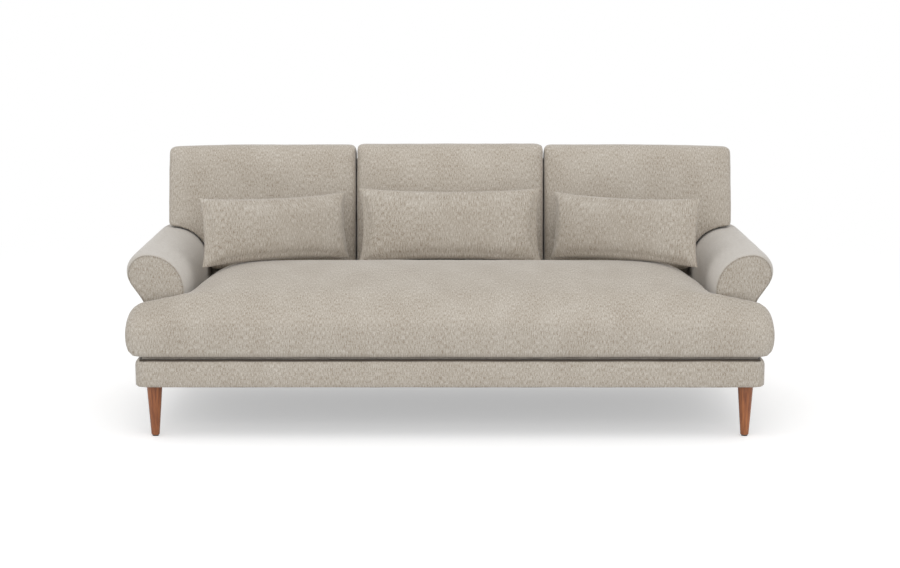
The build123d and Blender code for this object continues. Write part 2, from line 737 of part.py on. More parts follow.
def circle_height(first, middle, last, along):
    """Height at a place along the arc through three points, on its upper side."""
    (ax, ay), (bx, by), (cx, cy) = first, middle, last
    twice = 2 * (ax * (by - cy) + bx * (cy - ay) + cx * (ay - by))
    a2 = ax * ax + ay * ay
    b2 = bx * bx + by * by
    c2 = cx * cx + cy * cy
    center_x = (a2 * (by - cy) + b2 * (cy - ay) + c2 * (ay - by)) / twice
    center_y = (a2 * (cx - bx) + b2 * (ax - cx) + c2 * (bx - ax)) / twice
    radius = math.hypot(ax - center_x, ay - center_y)
    rise = math.sqrt(radius**2 - (along - center_x) ** 2)
    return center_y + math.copysign(rise, by - center_y)


def rounded_end(distance, reach, radius):
    """How much of a section is left near a rounded end: 1 before the rounding and 0 at the end."""
    into = min(max(0.0, distance - (reach - radius)) / radius, 1.0)
    return (1 - into**END_FULLNESS) ** (1 / END_FULLNESS)


def end_stations(reach, radius, last):
    """Places of the sections over a rounded end, closer towards its tip."""
    straight = reach - radius
    return [straight] + [straight + radius * share for share in (*END_SHARES, last)]


def both_ways(places):
    """The places on both sides of a cushion's middle, which is the first of them."""
    return [-x for x in reversed(places[1:])] + places


# Seat cushion: sections along its length, with a bullnose front, a crown and rounded ears
def seat_stations(inset):
    """Places of the seat cushion's sections: even in the middle, closer where the crown falls."""
    even = arm_x - SEAT_SIDE_FALL
    fall = [even + SEAT_SIDE_FALL * share for share in SEAT_FALL_SHARES]
    reach = SEAT_LENGTH / 2 - inset
    return both_ways(
        [0.0, even / 2, even, *fall, *end_stations(reach, SEAT_END_ROUND, SEAT_LAST_STATION)]
    )


def seat_section(x, inset):
    """Corners of the seat cushion's section at x: bottom pair, rear top, crown and front top."""
    left = rounded_end(abs(x), SEAT_LENGTH / 2 - inset, SEAT_END_ROUND)
    side = min(max(0.0, abs(x) - arm_x + SEAT_SIDE_FALL) / SEAT_SIDE_FALL, 1.0) ** SEAT_FALL_POWER
    ear = SEAT_EAR_SLOPE * max(0.0, abs(x) - arm_x)
    crown = SEAT_TOP - (SEAT_TOP - SEAT_SIDE_TOP) * side - ear - inset
    front_top = SEAT_FRONT_TOP - ear - inset
    rear_top = SEAT_REAR_TOP - (SEAT_REAR_TOP - SEAT_REAR_SIDE_TOP) * side - ear - inset
    low = seat_bottom + inset
    middle = (low + front_top) / 2
    low, rear_top, crown, front_top = [
        middle + left * (z - middle) for z in (low, rear_top, crown, front_top)
    ]
    front = seat_front + inset + SEAT_END_DRAW * (1 - left)
    rear = seat_rear - inset
    return {
        "front_low": (front + left * SEAT_UNDERCUT, low),
        "rear_low": (rear - left * SEAT_REAR_TUCK, low),
        "rear": (rear, (low + rear_top) / 2),
        "rear_top": (rear - left * SEAT_REAR_TUCK, rear_top),
        "crown": (SEAT_CROWN_Y, crown),
        "front_top": (front + left * SEAT_BULLNOSE, front_top),
        "front": (front, (low + front_top) / 2),
    }


def seat_surface(x, y):
    """Height of the seat cushion's top at a place of the plan, between its nearest two sections."""
    places = seat_stations(0)
    near = max(place for place in places[:-1] if place <= x)
    far = min(place for place in places if place > near)
    heights = []
    for place in (near, far):
        at = seat_section(place, 0)
        along = min(max(y, at["front_top"][0]), at["rear_top"][0])
        heights.append(circle_height(at["front_top"], at["crown"], at["rear_top"], along))
    share = (x - near) / (far - near)
    return heights[0] + share * (heights[1] - heights[0])


def seat_form(inset):
    """The seat cushion's form, drawn in by an inset, with the corners cut out for the arms."""
    sections = []
    for x in seat_stations(inset):
        at = seat_section(x, inset)
        with BuildSketch(Plane(origin=(x, 0, 0), x_dir=(0, 1, 0), z_dir=(1, 0, 0))) as section:
            with BuildLine():
                Line(at["front_low"], at["rear_low"])
                ThreePointArc(at["rear_low"], at["rear"], at["rear_top"])
                ThreePointArc(at["rear_top"], at["crown"], at["front_top"])
                ThreePointArc(at["front_top"], at["front"], at["front_low"])
            make_face()
        sections.append(section.sketch)
    loft(sections, ruled=True)
    notch_x = arm_x - CUSHION_FIT - inset
    notch_y = arm_front - CUSHION_FIT - inset
    for sign in SIDES.values():
        inner, outer = sorted((sign * notch_x, sign * SEAT_LENGTH))
        slab(inner, outer, notch_y, OVERALL_DEPTH, 0, 2 * SEAT_TOP, Mode.SUBTRACT)


with BuildPart() as seat_hollow:
    seat_form(CUSHION_COVER)

with BuildPart() as seat_cushion_cover:
    seat_form(0)
    add(seat_hollow.part, mode=Mode.SUBTRACT)
write(seat_cushion_cover, "seat_cushion_cover")

with BuildPart() as seat_cushion_core:
    seat_form(CUSHION_COVER + CORE_FIT)
write(seat_cushion_core, "seat_cushion_core")


# Zips: a tape with a raised chain, and a slider with its pull laid along the chain
def zip_chain(plane, length):
    """The tape and the chain of a zip, lying on a cushion along a plane's x."""
    with BuildSketch(plane.offset(FIT)) as tape:
        Rectangle(length, ZIP_TAPE)
    extrude(tape.sketch, amount=ZIP_TAPE_THICKNESS)
    with BuildSketch(plane.offset(FIT + ZIP_TAPE_THICKNESS)) as chain:
        Rectangle(length, ZIP_CHAIN)
    extrude(chain.sketch, amount=ZIP_CHAIN_HEIGHT)


def zip_slider(plane, length):
    """The slider over the chain at the closed end of a zip."""
    slider_u = length / 2 - SLIDER_END_MARGIN - SLIDER_LENGTH / 2
    tape_top = 2 * FIT + ZIP_TAPE_THICKNESS
    slider_top = tape_top + SLIDER_HEIGHT
    with BuildSketch(plane.offset(tape_top)) as body:
        with Locations((slider_u, 0)):
            Rectangle(SLIDER_LENGTH, SLIDER_WIDTH)
    extrude(body.sketch, amount=SLIDER_HEIGHT)
    with BuildSketch(plane.offset(tape_top)) as channel:
        with Locations((slider_u, 0)):
            Rectangle(SLIDER_LENGTH, ZIP_CHAIN + 2 * FIT)
    extrude(channel.sketch, amount=ZIP_CHAIN_HEIGHT, mode=Mode.SUBTRACT)
    with BuildSketch(plane.offset(slider_top)) as pull:
        with Locations((slider_u - PULL_LENGTH / 2 + SLIDER_LENGTH / 2, 0)):
            Rectangle(PULL_LENGTH, PULL_WIDTH)
    extrude(pull.sketch, amount=PULL_THICKNESS)


seat_zip = Plane(
    origin=(0, *seat_section(0, 0)["rear"]), x_dir=(1, 0, 0), z_dir=(0, 1, 0)
)
with BuildPart() as seat_zip_chain:
    zip_chain(seat_zip, SEAT_ZIP_LENGTH)
write(seat_zip_chain, "seat_zip_chain")

with BuildPart() as seat_zip_slider:
    zip_slider(seat_zip, SEAT_ZIP_LENGTH)
write(seat_zip_slider, "seat_zip_slider")


# Back cushions: sections along their length, resting on the rear of the seat cushion
def back_cushion_foot():
    """How far up the rake the back cushions' lowest line lies when they rest on the seat."""
    half = BACK_CUSHION_EDGE / 2
    foot = BACK_HEIGHT / 2
    for _ in range(SETTLE_STEPS):
        room = []
        for share in range(SETTLE_SAMPLES + 1):
            w = BACK_CUSHION_EDGE * share / SETTLE_SAMPLES
            v = foot + BACK_CUSHION_BULGE * ((w - half) / half) ** 2
            y = back_y + v * sin_rake - w * cos_rake
            z = base_top + v * cos_rake + w * sin_rake
            room.append(z - seat_surface(0, y))
        foot -= (min(room) - REST_FIT) / cos_rake
    return foot


def lumbar_half_height(share, height):
    """Half the height of a lumbar pillow at a share of its half width: drawn in between corners."""
    return height / 2 - LUMBAR_DRAW * (1 - share**2)


cushion_foot = back_cushion_foot()
cushion_pitch = BACK_CUSHIONS_LENGTH / BACK_CUSHIONS
cushion_half = (cushion_pitch - BACK_CUSHION_GAP) / 2
cushion_centers = {"left": -cushion_pitch, "middle": 0.0, "right": cushion_pitch}


def back_cushion_form(center_x, inset):
    """One back cushion's form in the back's plane, drawn in by an inset."""
    reach = cushion_half - inset
    rear = FIT + inset
    sections = []
    even = [(reach - BACK_CUSHION_END_ROUND) * share for share in BACK_CUSHION_SHARES]
    ends = end_stations(reach, BACK_CUSHION_END_ROUND, 1.0)
    for u in both_ways([*even, *ends]):
        left = rounded_end(abs(u), reach, BACK_CUSHION_END_ROUND)
        draw = BACK_CUSHION_END_DRAW * (1 - left)
        low = cushion_foot + inset + draw / 2
        high = BACK_CUSHION_TOP - inset - draw / 2
        front = BACK_CUSHION_EDGE - inset - draw
        rise = BACK_CUSHION_CROWN * (1 - (u / reach) ** CROWN_FULLNESS)
        crown = front + BACK_CUSHION_END_CROWN + rise
        half = (front + rear) / 2
        middle = (low + high) / 2
        across = Plane(
            origin=back_plane.from_local_coords((center_x + u, 0, 0)),
            x_dir=back_plane.y_dir,
            z_dir=back_plane.x_dir,
        )
        with BuildSketch(across) as section:
            with BuildLine():
                Line((low + BACK_CUSHION_BULGE, rear), (high - BACK_CUSHION_BULGE, rear))
                ThreePointArc(
                    (high - BACK_CUSHION_BULGE, rear),
                    (high, half),
                    (high - BACK_CUSHION_BULGE, front),
                )
                ThreePointArc(
                    (high - BACK_CUSHION_BULGE, front),
                    (middle, crown),
                    (low + BACK_CUSHION_BULGE, front),
                )
                ThreePointArc(
                    (low + BACK_CUSHION_BULGE, front),
                    (low, half),
                    (low + BACK_CUSHION_BULGE, rear),
                )
            make_face()
        sections.append(section.sketch)
    loft(sections, ruled=True)


def clear_of_arm(sign, inset):
    """Cut the lower outer corner of a back cushion away over the arm."""
    gap = CUSHION_FIT + inset
    radius = ARM_CROWN + gap
    roll_x = arm_x + ARM_CROWN
    crown_z = ARM_TOP - ARM_CROWN
    diagonal = radius * math.sqrt(0.5)
    with BuildSketch(Plane.XZ) as corner:
        with BuildLine():
            Line((sign * (arm_x - gap), 0), (sign * (arm_x - gap), crown_z))
            ThreePointArc(
                (sign * (arm_x - gap), crown_z),
                (sign * (roll_x - diagonal), crown_z + diagonal),
                (sign * roll_x, ARM_TOP + gap),
            )
            Polyline(
                (sign * roll_x, ARM_TOP + gap),
                (sign * SEAT_LENGTH, ARM_TOP + gap),
                (sign * SEAT_LENGTH, 0),
                (sign * (arm_x - gap), 0),
            )
        make_face()
    extrude(corner.sketch, amount=OVERALL_DEPTH, both=True, mode=Mode.SUBTRACT)


bulge_half = BACK_CUSHION_EDGE / 2
zip_share = (BACK_ZIP_FROM_LINING - bulge_half) / bulge_half
zip_slope = 2 * BACK_CUSHION_BULGE * zip_share / bulge_half
zip_normal = back_plane.y_dir * -1 + back_plane.z_dir * zip_slope

for place, center_x in cushion_centers.items():
    sign = SIDES.get(place, 0)
    with BuildPart() as cushion_hollow:
        back_cushion_form(center_x, CUSHION_COVER)
        if sign:
            clear_of_arm(sign, CUSHION_COVER)

    with BuildPart() as back_cushion_cover:
        back_cushion_form(center_x, 0)
        if sign:
            clear_of_arm(sign, 0)
        add(cushion_hollow.part, mode=Mode.SUBTRACT)
    write(back_cushion_cover, f"back_cushion_cover_{place}")

    with BuildPart() as back_cushion_core:
        back_cushion_form(center_x, CUSHION_COVER + CORE_FIT)
        if sign:
            clear_of_arm(sign, CUSHION_COVER + CORE_FIT)
    write(back_cushion_core, f"back_cushion_core_{place}")

    zip_x = sign * (center_x * sign - cushion_half + arm_x - CUSHION_FIT) / 2
    zip_v = cushion_foot + BACK_CUSHION_BULGE * zip_share**2
    zip_origin = back_plane.from_local_coords((zip_x, zip_v, BACK_ZIP_FROM_LINING))
    back_zip = Plane(origin=zip_origin, x_dir=(1, 0, 0), z_dir=zip_normal)
    with BuildPart() as back_zip_chain:
        zip_chain(back_zip, BACK_ZIP_LENGTH)
    write(back_zip_chain, f"back_zip_chain_{place}")

    with BuildPart() as back_zip_slider:
        zip_slider(back_zip, BACK_ZIP_LENGTH)
    write(back_zip_slider, f"back_zip_slider_{place}")


# Lumbar pillows: knife-edged, with drawn-in sides, resting on the seat cushion's crown
def lumbar_plane(x, y, z, yaw, lean, roll):
    """A pillow's plane: x along its width, y up its height, z out of its front."""
    turn = math.radians(yaw)
    tip = math.radians(lean)
    front = Vector(
        math.sin(turn) * math.cos(tip), -math.cos(turn) * math.cos(tip), math.sin(tip)
    )
    along = Vector(math.cos(turn), math.sin(turn), 0)
    tilt = math.radians(roll)
    raised = along * math.cos(tilt) + front.cross(along) * math.sin(tilt)
    return Plane(origin=(x, y, z), x_dir=raised, z_dir=front)


def settle_lumbar(x, y, yaw, lean, roll, width, height):
    """A pillow's plane at the height where its lower edge rests on the seat cushion."""
    level = lumbar_plane(x, y, 0, yaw, lean, roll)
    shares = both_ways(list(LUMBAR_SHARES))
    room = []
    for w in (-LUMBAR_EDGE, LUMBAR_EDGE):
        corners = [
            level.from_local_coords((share * width / 2, -lumbar_half_height(share, height), w))
            for share in shares
        ]
        for near, far in zip(corners, corners[1:]):
            for step in range(SETTLE_SAMPLES + 1):
                point = near + (far - near) * (step / SETTLE_SAMPLES)
                room.append(point.Z - seat_surface(point.X, point.Y))
    return lumbar_plane(x, y, REST_FIT - min(room), yaw, lean, roll)


def lumbar_form(plane, width, height, thickness, inset):
    """A pillow's form: lens sections along its width, and ends drawn in between the corners."""
    reach = width / 2 - inset
    sections = []
    for share in both_ways(list(LUMBAR_SHARES)):
        full = (1 - share**2) ** LUMBAR_FULLNESS
        edge = LUMBAR_EDGE - inset
        swell = edge + LUMBAR_EDGE + (thickness / 2 - 2 * LUMBAR_EDGE) * full
        tall = lumbar_half_height(share, height) - inset
        across = Plane(
            origin=plane.from_local_coords((share * reach, 0, 0)),
            x_dir=plane.y_dir,
            z_dir=plane.x_dir,
        )
        with BuildSketch(across) as section:
            with BuildLine():
                ThreePointArc((-tall, -edge), (0, -swell), (tall, -edge))
                Line((tall, -edge), (tall, edge))
                ThreePointArc((tall, edge), (0, swell), (-tall, edge))
                Line((-tall, edge), (-tall, -edge))
            make_face()
        sections.append(section.sketch)
    loft(sections, ruled=True)
    draw_radius = (height**2 / 4 + LUMBAR_DRAW**2) / (2 * LUMBAR_DRAW)
    with BuildSketch(plane) as ends:
        with Locations(*[(s * (reach - LUMBAR_DRAW + draw_radius), 0) for s in (-1, 1)]):
            Circle(draw_radius)
    extrude(ends.sketch, amount=thickness, both=True, mode=Mode.SUBTRACT)


crown_w = BACK_CUSHION_EDGE + BACK_CUSHION_CROWN + BACK_CUSHION_END_CROWN + LUMBAR_GAP
crown_tilt = math.tan(math.radians(BACK_RAKE))
lumbar_z = SEAT_TOP + SIDE_LUMBAR_HEIGHT / 2
crown_y = back_y + (lumbar_z - base_top) * crown_tilt - crown_w / cos_rake
middle_y = crown_y - MIDDLE_LUMBAR_THICKNESS / 2 / cos_rake
side_y = crown_y - SIDE_LUMBAR_FORWARD
lumbar_places = {
    "left": (-SIDE_LUMBAR_X, side_y, SIDE_LUMBAR_YAW, SIDE_LUMBAR_LEAN, -SIDE_LUMBAR_ROLL),
    "middle": (0.0, middle_y, 0.0, BACK_RAKE, 0.0),
    "right": (SIDE_LUMBAR_X, side_y, -SIDE_LUMBAR_YAW, SIDE_LUMBAR_LEAN, SIDE_LUMBAR_ROLL),
}
side_lumbar = (SIDE_LUMBAR_WIDTH, SIDE_LUMBAR_HEIGHT, SIDE_LUMBAR_THICKNESS)
middle_lumbar = (MIDDLE_LUMBAR_WIDTH, MIDDLE_LUMBAR_HEIGHT, MIDDLE_LUMBAR_THICKNESS)

for place, pose in lumbar_places.items():
    width, height, thickness = middle_lumbar if place == "middle" else side_lumbar
    plane = settle_lumbar(*pose, width, height)
    with BuildPart() as lumbar_hollow:
        lumbar_form(plane, width, height, thickness, LUMBAR_COVER)

    with BuildPart() as lumbar_cover:
        lumbar_form(plane, width, height, thickness, 0)
        add(lumbar_hollow.part, mode=Mode.SUBTRACT)
    write(lumbar_cover, f"lumbar_cover_{place}")

    with BuildPart() as lumbar_insert:
        lumbar_form(plane, width, height, thickness, LUMBAR_COVER + CORE_FIT)
    write(lumbar_insert, f"lumbar_insert_{place}")
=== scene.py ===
"""The dressed sofa: padded cushions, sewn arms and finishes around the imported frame."""

import json
import logging
import math
from contextlib import contextmanager
from dataclasses import dataclass
from enum import Enum
from typing import Any, Callable, Iterator, Sequence

import bpy
import numpy as np
from mathutils import Matrix, Vector


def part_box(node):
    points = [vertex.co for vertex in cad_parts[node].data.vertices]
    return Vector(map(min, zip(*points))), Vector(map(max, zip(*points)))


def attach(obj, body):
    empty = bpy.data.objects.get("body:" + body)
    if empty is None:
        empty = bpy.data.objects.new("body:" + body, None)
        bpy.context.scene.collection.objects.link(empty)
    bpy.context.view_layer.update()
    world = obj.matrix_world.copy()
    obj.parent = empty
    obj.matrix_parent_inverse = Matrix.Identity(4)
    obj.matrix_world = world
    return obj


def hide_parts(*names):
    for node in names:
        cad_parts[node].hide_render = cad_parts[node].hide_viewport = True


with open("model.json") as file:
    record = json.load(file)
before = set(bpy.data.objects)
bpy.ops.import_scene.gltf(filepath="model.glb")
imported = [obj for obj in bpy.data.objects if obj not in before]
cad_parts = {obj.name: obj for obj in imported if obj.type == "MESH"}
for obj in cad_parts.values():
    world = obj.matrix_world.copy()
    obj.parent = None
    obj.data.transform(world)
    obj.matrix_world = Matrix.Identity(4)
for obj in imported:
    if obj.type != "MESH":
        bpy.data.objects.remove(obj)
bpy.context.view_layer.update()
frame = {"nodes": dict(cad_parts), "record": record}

log = logging.getLogger("sofa")
Colour = tuple[float, float, float, float]
Chart = Callable[[np.ndarray, np.ndarray], np.ndarray]

FRAME_BODY = "frame"
CLOTH_MAP = "cloth"
# The vertex attribute of painted shade, which darkens the cloth in seam grooves and under the seat
# cushion's lip
PAINTED_SHADE = "painted_shade"
FIT = 0.0003  # between a cover and what it lies against, metres
CREASE = math.radians(35)  # flatter edges than this are shaded smooth
SEAM_STEP = 0.004
PUCKER_MEAN = 0.72
PUCKERS = ((0.16, 190.0, 0.0), (0.12, 71.0, 1.3))  # size, pace and start of two waves
END_FACING = 0.72
REAR_FACING = 0.6


class Place(Enum):
    """The three places along the sofa, with their side of the middle."""

    LEFT = "left"
    MIDDLE = "middle"
    RIGHT = "right"

    @property
    def sign(self) -> int:
        """-1 on the left, 0 in the middle and 1 on the right."""
        return {"left": -1, "middle": 0, "right": 1}[self.value]


class Slot(Enum):
    """The record's material slots."""

    UPHOLSTERY = "upholstery"
    LEG_WOOD = "leg_wood"
    FRAME_WOOD = "frame_wood"
    SPRING_STEEL = "spring_steel"
    HARDWARE = "hardware"
    GLIDE_NYLON = "glide_nylon"
    LINING_CLOTH = "lining_cloth"
    DECK_CLOTH = "deck_cloth"
    FOAM = "foam"
    FIBRE_FILL = "fibre_fill"
    WEBBING = "webbing"
    ZIP_TAPE = "zip_tape"
    ZIP_METAL = "zip_metal"


SIDES = (Place.LEFT, Place.RIGHT)


# Mesh work


def activate(obj: bpy.types.Object) -> None:
    """Select one object alone and make it active.

    Args:
        obj: the object.
    """
    bpy.ops.object.select_all(action="DESELECT")
    obj.select_set(True)
    bpy.context.view_layer.objects.active = obj


@contextmanager
def editing(
    obj: bpy.types.Object, kind: str = "", wanted: Callable[[Any], bool] | None = None
) -> Iterator[None]:
    """Open a mesh in edit mode with what is wanted selected, and close it again.

    Args:
        obj: the mesh object.
        kind: EDGE or FACE, where only some of these are wanted.
        wanted: says of an edge or a face whether it is selected; without it, all is.

    Yields:
        Nothing, while the mesh is open.
    """
    activate(obj)
    bpy.ops.object.mode_set(mode="EDIT")
    if wanted:
        bpy.ops.mesh.select_mode(type=kind)
        bpy.ops.mesh.select_all(action="DESELECT")
        bpy.ops.object.mode_set(mode="OBJECT")
        for item in obj.data.edges if kind == "EDGE" else obj.data.polygons:
            item.select = wanted(item)
        bpy.ops.object.mode_set(mode="EDIT")
    else:
        bpy.ops.mesh.select_all(action="SELECT")
    yield
    bpy.ops.object.mode_set(mode="OBJECT")


def face_outwards() -> None:
    """Turn all faces of the open mesh outwards."""
    bpy.ops.mesh.select_all(action="SELECT")
    bpy.ops.mesh.normals_make_consistent(inside=False)


def adopt(name: str) -> bpy.types.Object:
    """Name the object that an operator has just added.

    Args:
        name: the name for the object and its mesh.

    Returns:
        The object.
    """
    obj = bpy.context.active_object
    obj.name = name
    obj.data.name = name
    return obj


def points(obj: bpy.types.Object) -> np.ndarray:
    """Read the vertices of a mesh.

    Args:
        obj: the mesh object.

    Returns:
        Their places, one row each.
    """
    co = np.empty(len(obj.data.vertices) * 3)
    obj.data.vertices.foreach_get("co", co)
    return co.reshape(-1, 3)


def normals(obj: bpy.types.Object) -> np.ndarray:
    """Read the normals of a mesh's vertices.

    Args:
        obj: the mesh object.

    Returns:
        Their directions, one row each.
    """
    out = np.empty(len(obj.data.vertices) * 3)
    obj.data.vertices.foreach_get("normal", out)
    return out.reshape(-1, 3)


def set_points(obj: bpy.types.Object, co: np.ndarray) -> None:
    """Move a mesh's vertices to new places."""
    obj.data.vertices.foreach_set("co", np.ascontiguousarray(co).ravel())
    obj.data.update()


def modify(obj: bpy.types.Object, kind: str, **settings: Any) -> None:
    """Add a modifier, set it and apply it.

    Args:
        obj: the mesh object.
        kind: the modifier's type.
        settings: the modifier's own properties.
    """
    activate(obj)
    modifier = obj.modifiers.new(kind.title(), kind)
    for key, value in settings.items():
        setattr(modifier, key, value)
    bpy.ops.object.modifier_apply(modifier=modifier.name)


def block(
    name: str, low: Sequence[float], high: Sequence[float], cuts: int = 0
) -> bpy.types.Object:
    """A cube at its size and place, subdivided for shaping.

    Args:
        name: the piece's name.
        low: the lowest corner.
        high: the highest corner.
        cuts: how many cuts divide each edge.

    Returns:
        The new object, at the origin with its place in its mesh.
    """
    bpy.ops.object.select_all(action="DESELECT")
    center = [(a + b) / 2 for a, b in zip(low, high)]
    bpy.ops.mesh.primitive_cube_add(size=1.0, location=center)
    obj = adopt(name)
    obj.scale = [b - a for a, b in zip(low, high)]
    bpy.ops.object.transform_apply(location=True, rotation=True, scale=True)
    if cuts:
        with editing(obj):
            bpy.ops.mesh.subdivide(number_cuts=cuts)
    return obj


def at_depth(outline: np.ndarray, y: float) -> np.ndarray:
    """Places of an outline of the front view, given as x and z, at one depth."""
    return np.column_stack((outline[:, 0], np.full(len(outline), y), outline[:, 1]))


def prism(name: str, outline: np.ndarray, near: float, far: float) -> bpy.types.Object:
    """A closed outline of the front view, extruded from front to back.

    Args:
        name: the piece's name.
        outline: rows of x and z.
        near: y of its front face.
        far: y of its rear face.

    Returns:
        The new object.
    """
    bpy.ops.object.select_all(action="DESELECT")
    bpy.ops.mesh.primitive_circle_add(vertices=len(outline), fill_type="NGON")
    obj = adopt(name)
    set_points(obj, at_depth(outline, near))
    with editing(obj):
        bpy.ops.mesh.extrude_region_move(TRANSFORM_OT_translate={"value": (0, far - near, 0)})
        face_outwards()
    return obj


def trim(obj: bpy.types.Object, at: Vector, away: Vector) -> None:
    """Cut off what lies beyond a plane, and close the cut.

    Args:
        obj: the closed form.
        at: a point of the plane.
        away: the plane's normal, on the side that is cut off.
    """
    with editing(obj):
        bpy.ops.mesh.bisect(plane_co=at, plane_no=away, use_fill=True, clear_outer=True)
        face_outwards()


def cut(obj: bpy.types.Object, cutter: bpy.types.Object) -> None:
    """Take one closed form out of another and delete the cutter."""
    modify(obj, "BOOLEAN", operation="DIFFERENCE", solver="EXACT", object=cutter)
    bpy.data.objects.remove(cutter, do_unlink=True)


def soften(obj: bpy.types.Object, width: float, steps: int) -> None:
    """Round a form's edges."""
    modify(obj, "BEVEL", width=width, segments=steps, limit_method="ANGLE")


def ripple(obj: bpy.types.Object, size: float, depth: float) -> None:
    """Let a padded surface rise and fall a little, as filling never lies quite even.

    Args:
        obj: the padded piece.
        size: the width of one rise.
        depth: how far it stands out at most.
    """
    texture = bpy.data.textures.new("filling", "CLOUDS")
    texture.noise_scale = size
    modify(obj, "DISPLACE", texture=texture, strength=depth, mid_level=0.5, texture_coords="LOCAL")
    bpy.data.textures.remove(texture)


def along_path(path: np.ndarray, step: float) -> np.ndarray:
    """Walk along a path at an even step.

    Args:
        path: the path's points, one row each.
        step: the length of a step.

    Returns:
        The places, one row each.
    """
    runs = np.linalg.norm(np.diff(path, axis=0), axis=1)
    far = np.concatenate(([0.0], np.cumsum(runs)))
    places = np.arange(0.0, far[-1], step)
    return np.column_stack([np.interp(places, far, path[:, i]) for i in range(path.shape[1])])


def press_seam(
    obj: bpy.types.Object, path: np.ndarray, width: float, depth: float, shade: float
) -> None:
    """Draw the surface in along a sewn line, with small puckers beside it, and note the painted
    shade in its groove.

    Args:
        obj: the padded piece.
        path: points along the seam.
        width: half the width of the groove.
        depth: its depth at the deepest pucker.
        shade: how dark the groove's painted shade is, from 0 to 1.
    """
    rows = along_path(path, SEAM_STEP)
    co = points(obj)
    far = np.full(len(co), np.inf)
    near = np.zeros(len(co), int)
    for index, row in enumerate(rows):
        gap = np.linalg.norm(co - row, axis=1)
        closer = gap < far
        far[closer] = gap[closer]
        near[closer] = index
    run = near * SEAM_STEP
    waves = (size * np.sin(run * pace + start) for size, pace, start in PUCKERS)
    pucker = sum(waves, PUCKER_MEAN)
    groove = np.exp(-((far / width) ** 2))
    set_points(obj, co - normals(obj) * (depth * pucker * groove)[:, None])
    # The groove is darkened by painted shade as well as drawn in.
    note_shade(obj, shade * groove)


def note_shade(obj: bpy.types.Object, shade: np.ndarray) -> None:
    """Keep the painted shade at each vertex: how far the cloth's colour is darkened there.

    Args:
        obj: the covered piece.
        shade: from 0 to 1, one for each vertex.
    """
    layers = obj.data.attributes
    layer = layers.get(PAINTED_SHADE) or layers.new(PAINTED_SHADE, "FLOAT", "POINT")
    layer.data.foreach_set("value", shade.astype(np.float32))


def put(obj: bpy.types.Object, matrix: Matrix) -> None:
    """Turn and move a form made in its own axes into the sofa's frame.

    Args:
        obj: the form.
        matrix: from its axes to the sofa's frame.
    """
    activate(obj)
    obj.matrix_world = matrix
    bpy.ops.object.transform_apply(location=True, rotation=True, scale=True)


def join(name: str, parts: list[bpy.types.Object]) -> bpy.types.Object:
    """Join meshes into one piece.

    Args:
        name: the piece's name.
        parts: the objects that become one.

    Returns:
        The joined object.
    """
    activate(parts[0])
    for part in parts:
        part.select_set(True)
    bpy.ops.object.join()
    return adopt(name)


def carry(co: np.ndarray, matrix: Matrix) -> np.ndarray:
    """Points taken through a matrix, one row each."""
    rows = np.array(matrix)
    return co @ rows[:3, :3].T + rows[:3, 3]


def local_box(node: str, matrix: Matrix) -> tuple[np.ndarray, np.ndarray]:
    """The lowest and highest corner of a CAD node in turned axes.

    Args:
        node: the node's name.
        matrix: from those axes to the sofa's frame.

    Returns:
        The two corners in those axes.
    """
    co = carry(points(frame["nodes"][node]), matrix.inverted())
    return co.min(0), co.max(0)


def lay_cloth(obj: bpy.types.Object, chart: Chart) -> None:
    """Write the cloth's own map in metres: across the slubs, and along them.

    Args:
        obj: the covered piece.
        chart: gives the two lengths for corners and the normals of their faces.
    """
    mesh = obj.data
    layer = mesh.uv_layers.new(name=CLOTH_MAP)
    corner = np.empty(len(mesh.loops), int)
    mesh.loops.foreach_get("vertex_index", corner)
    totals = np.empty(len(mesh.polygons), int)
    mesh.polygons.foreach_get("loop_total", totals)
    facing = np.empty(len(mesh.polygons) * 3)
    mesh.polygons.foreach_get("normal", facing)
    facing = np.repeat(facing.reshape(-1, 3), totals, axis=0)
    layer.data.foreach_set("uv", chart(points(obj)[corner], facing).astype(np.float32).ravel())


def box_chart(co: np.ndarray, facing: np.ndarray) -> np.ndarray:
    """Lay cloth up the front and over the top, with its own pieces at the ends.

    Args:
        co: the corners' places.
        facing: the normals of their faces.

    Returns:
        The lengths across and along the cloth.
    """
    end = np.abs(facing[:, 0]) > END_FACING
    rear = np.where(facing[:, 1] > REAR_FACING, -1.0, 1.0)
    across = np.where(end, co[:, 1], co[:, 0])
    along = np.where(end, co[:, 2], rear * co[:, 1] + co[:, 2])
    return np.stack((across, along), axis=1)


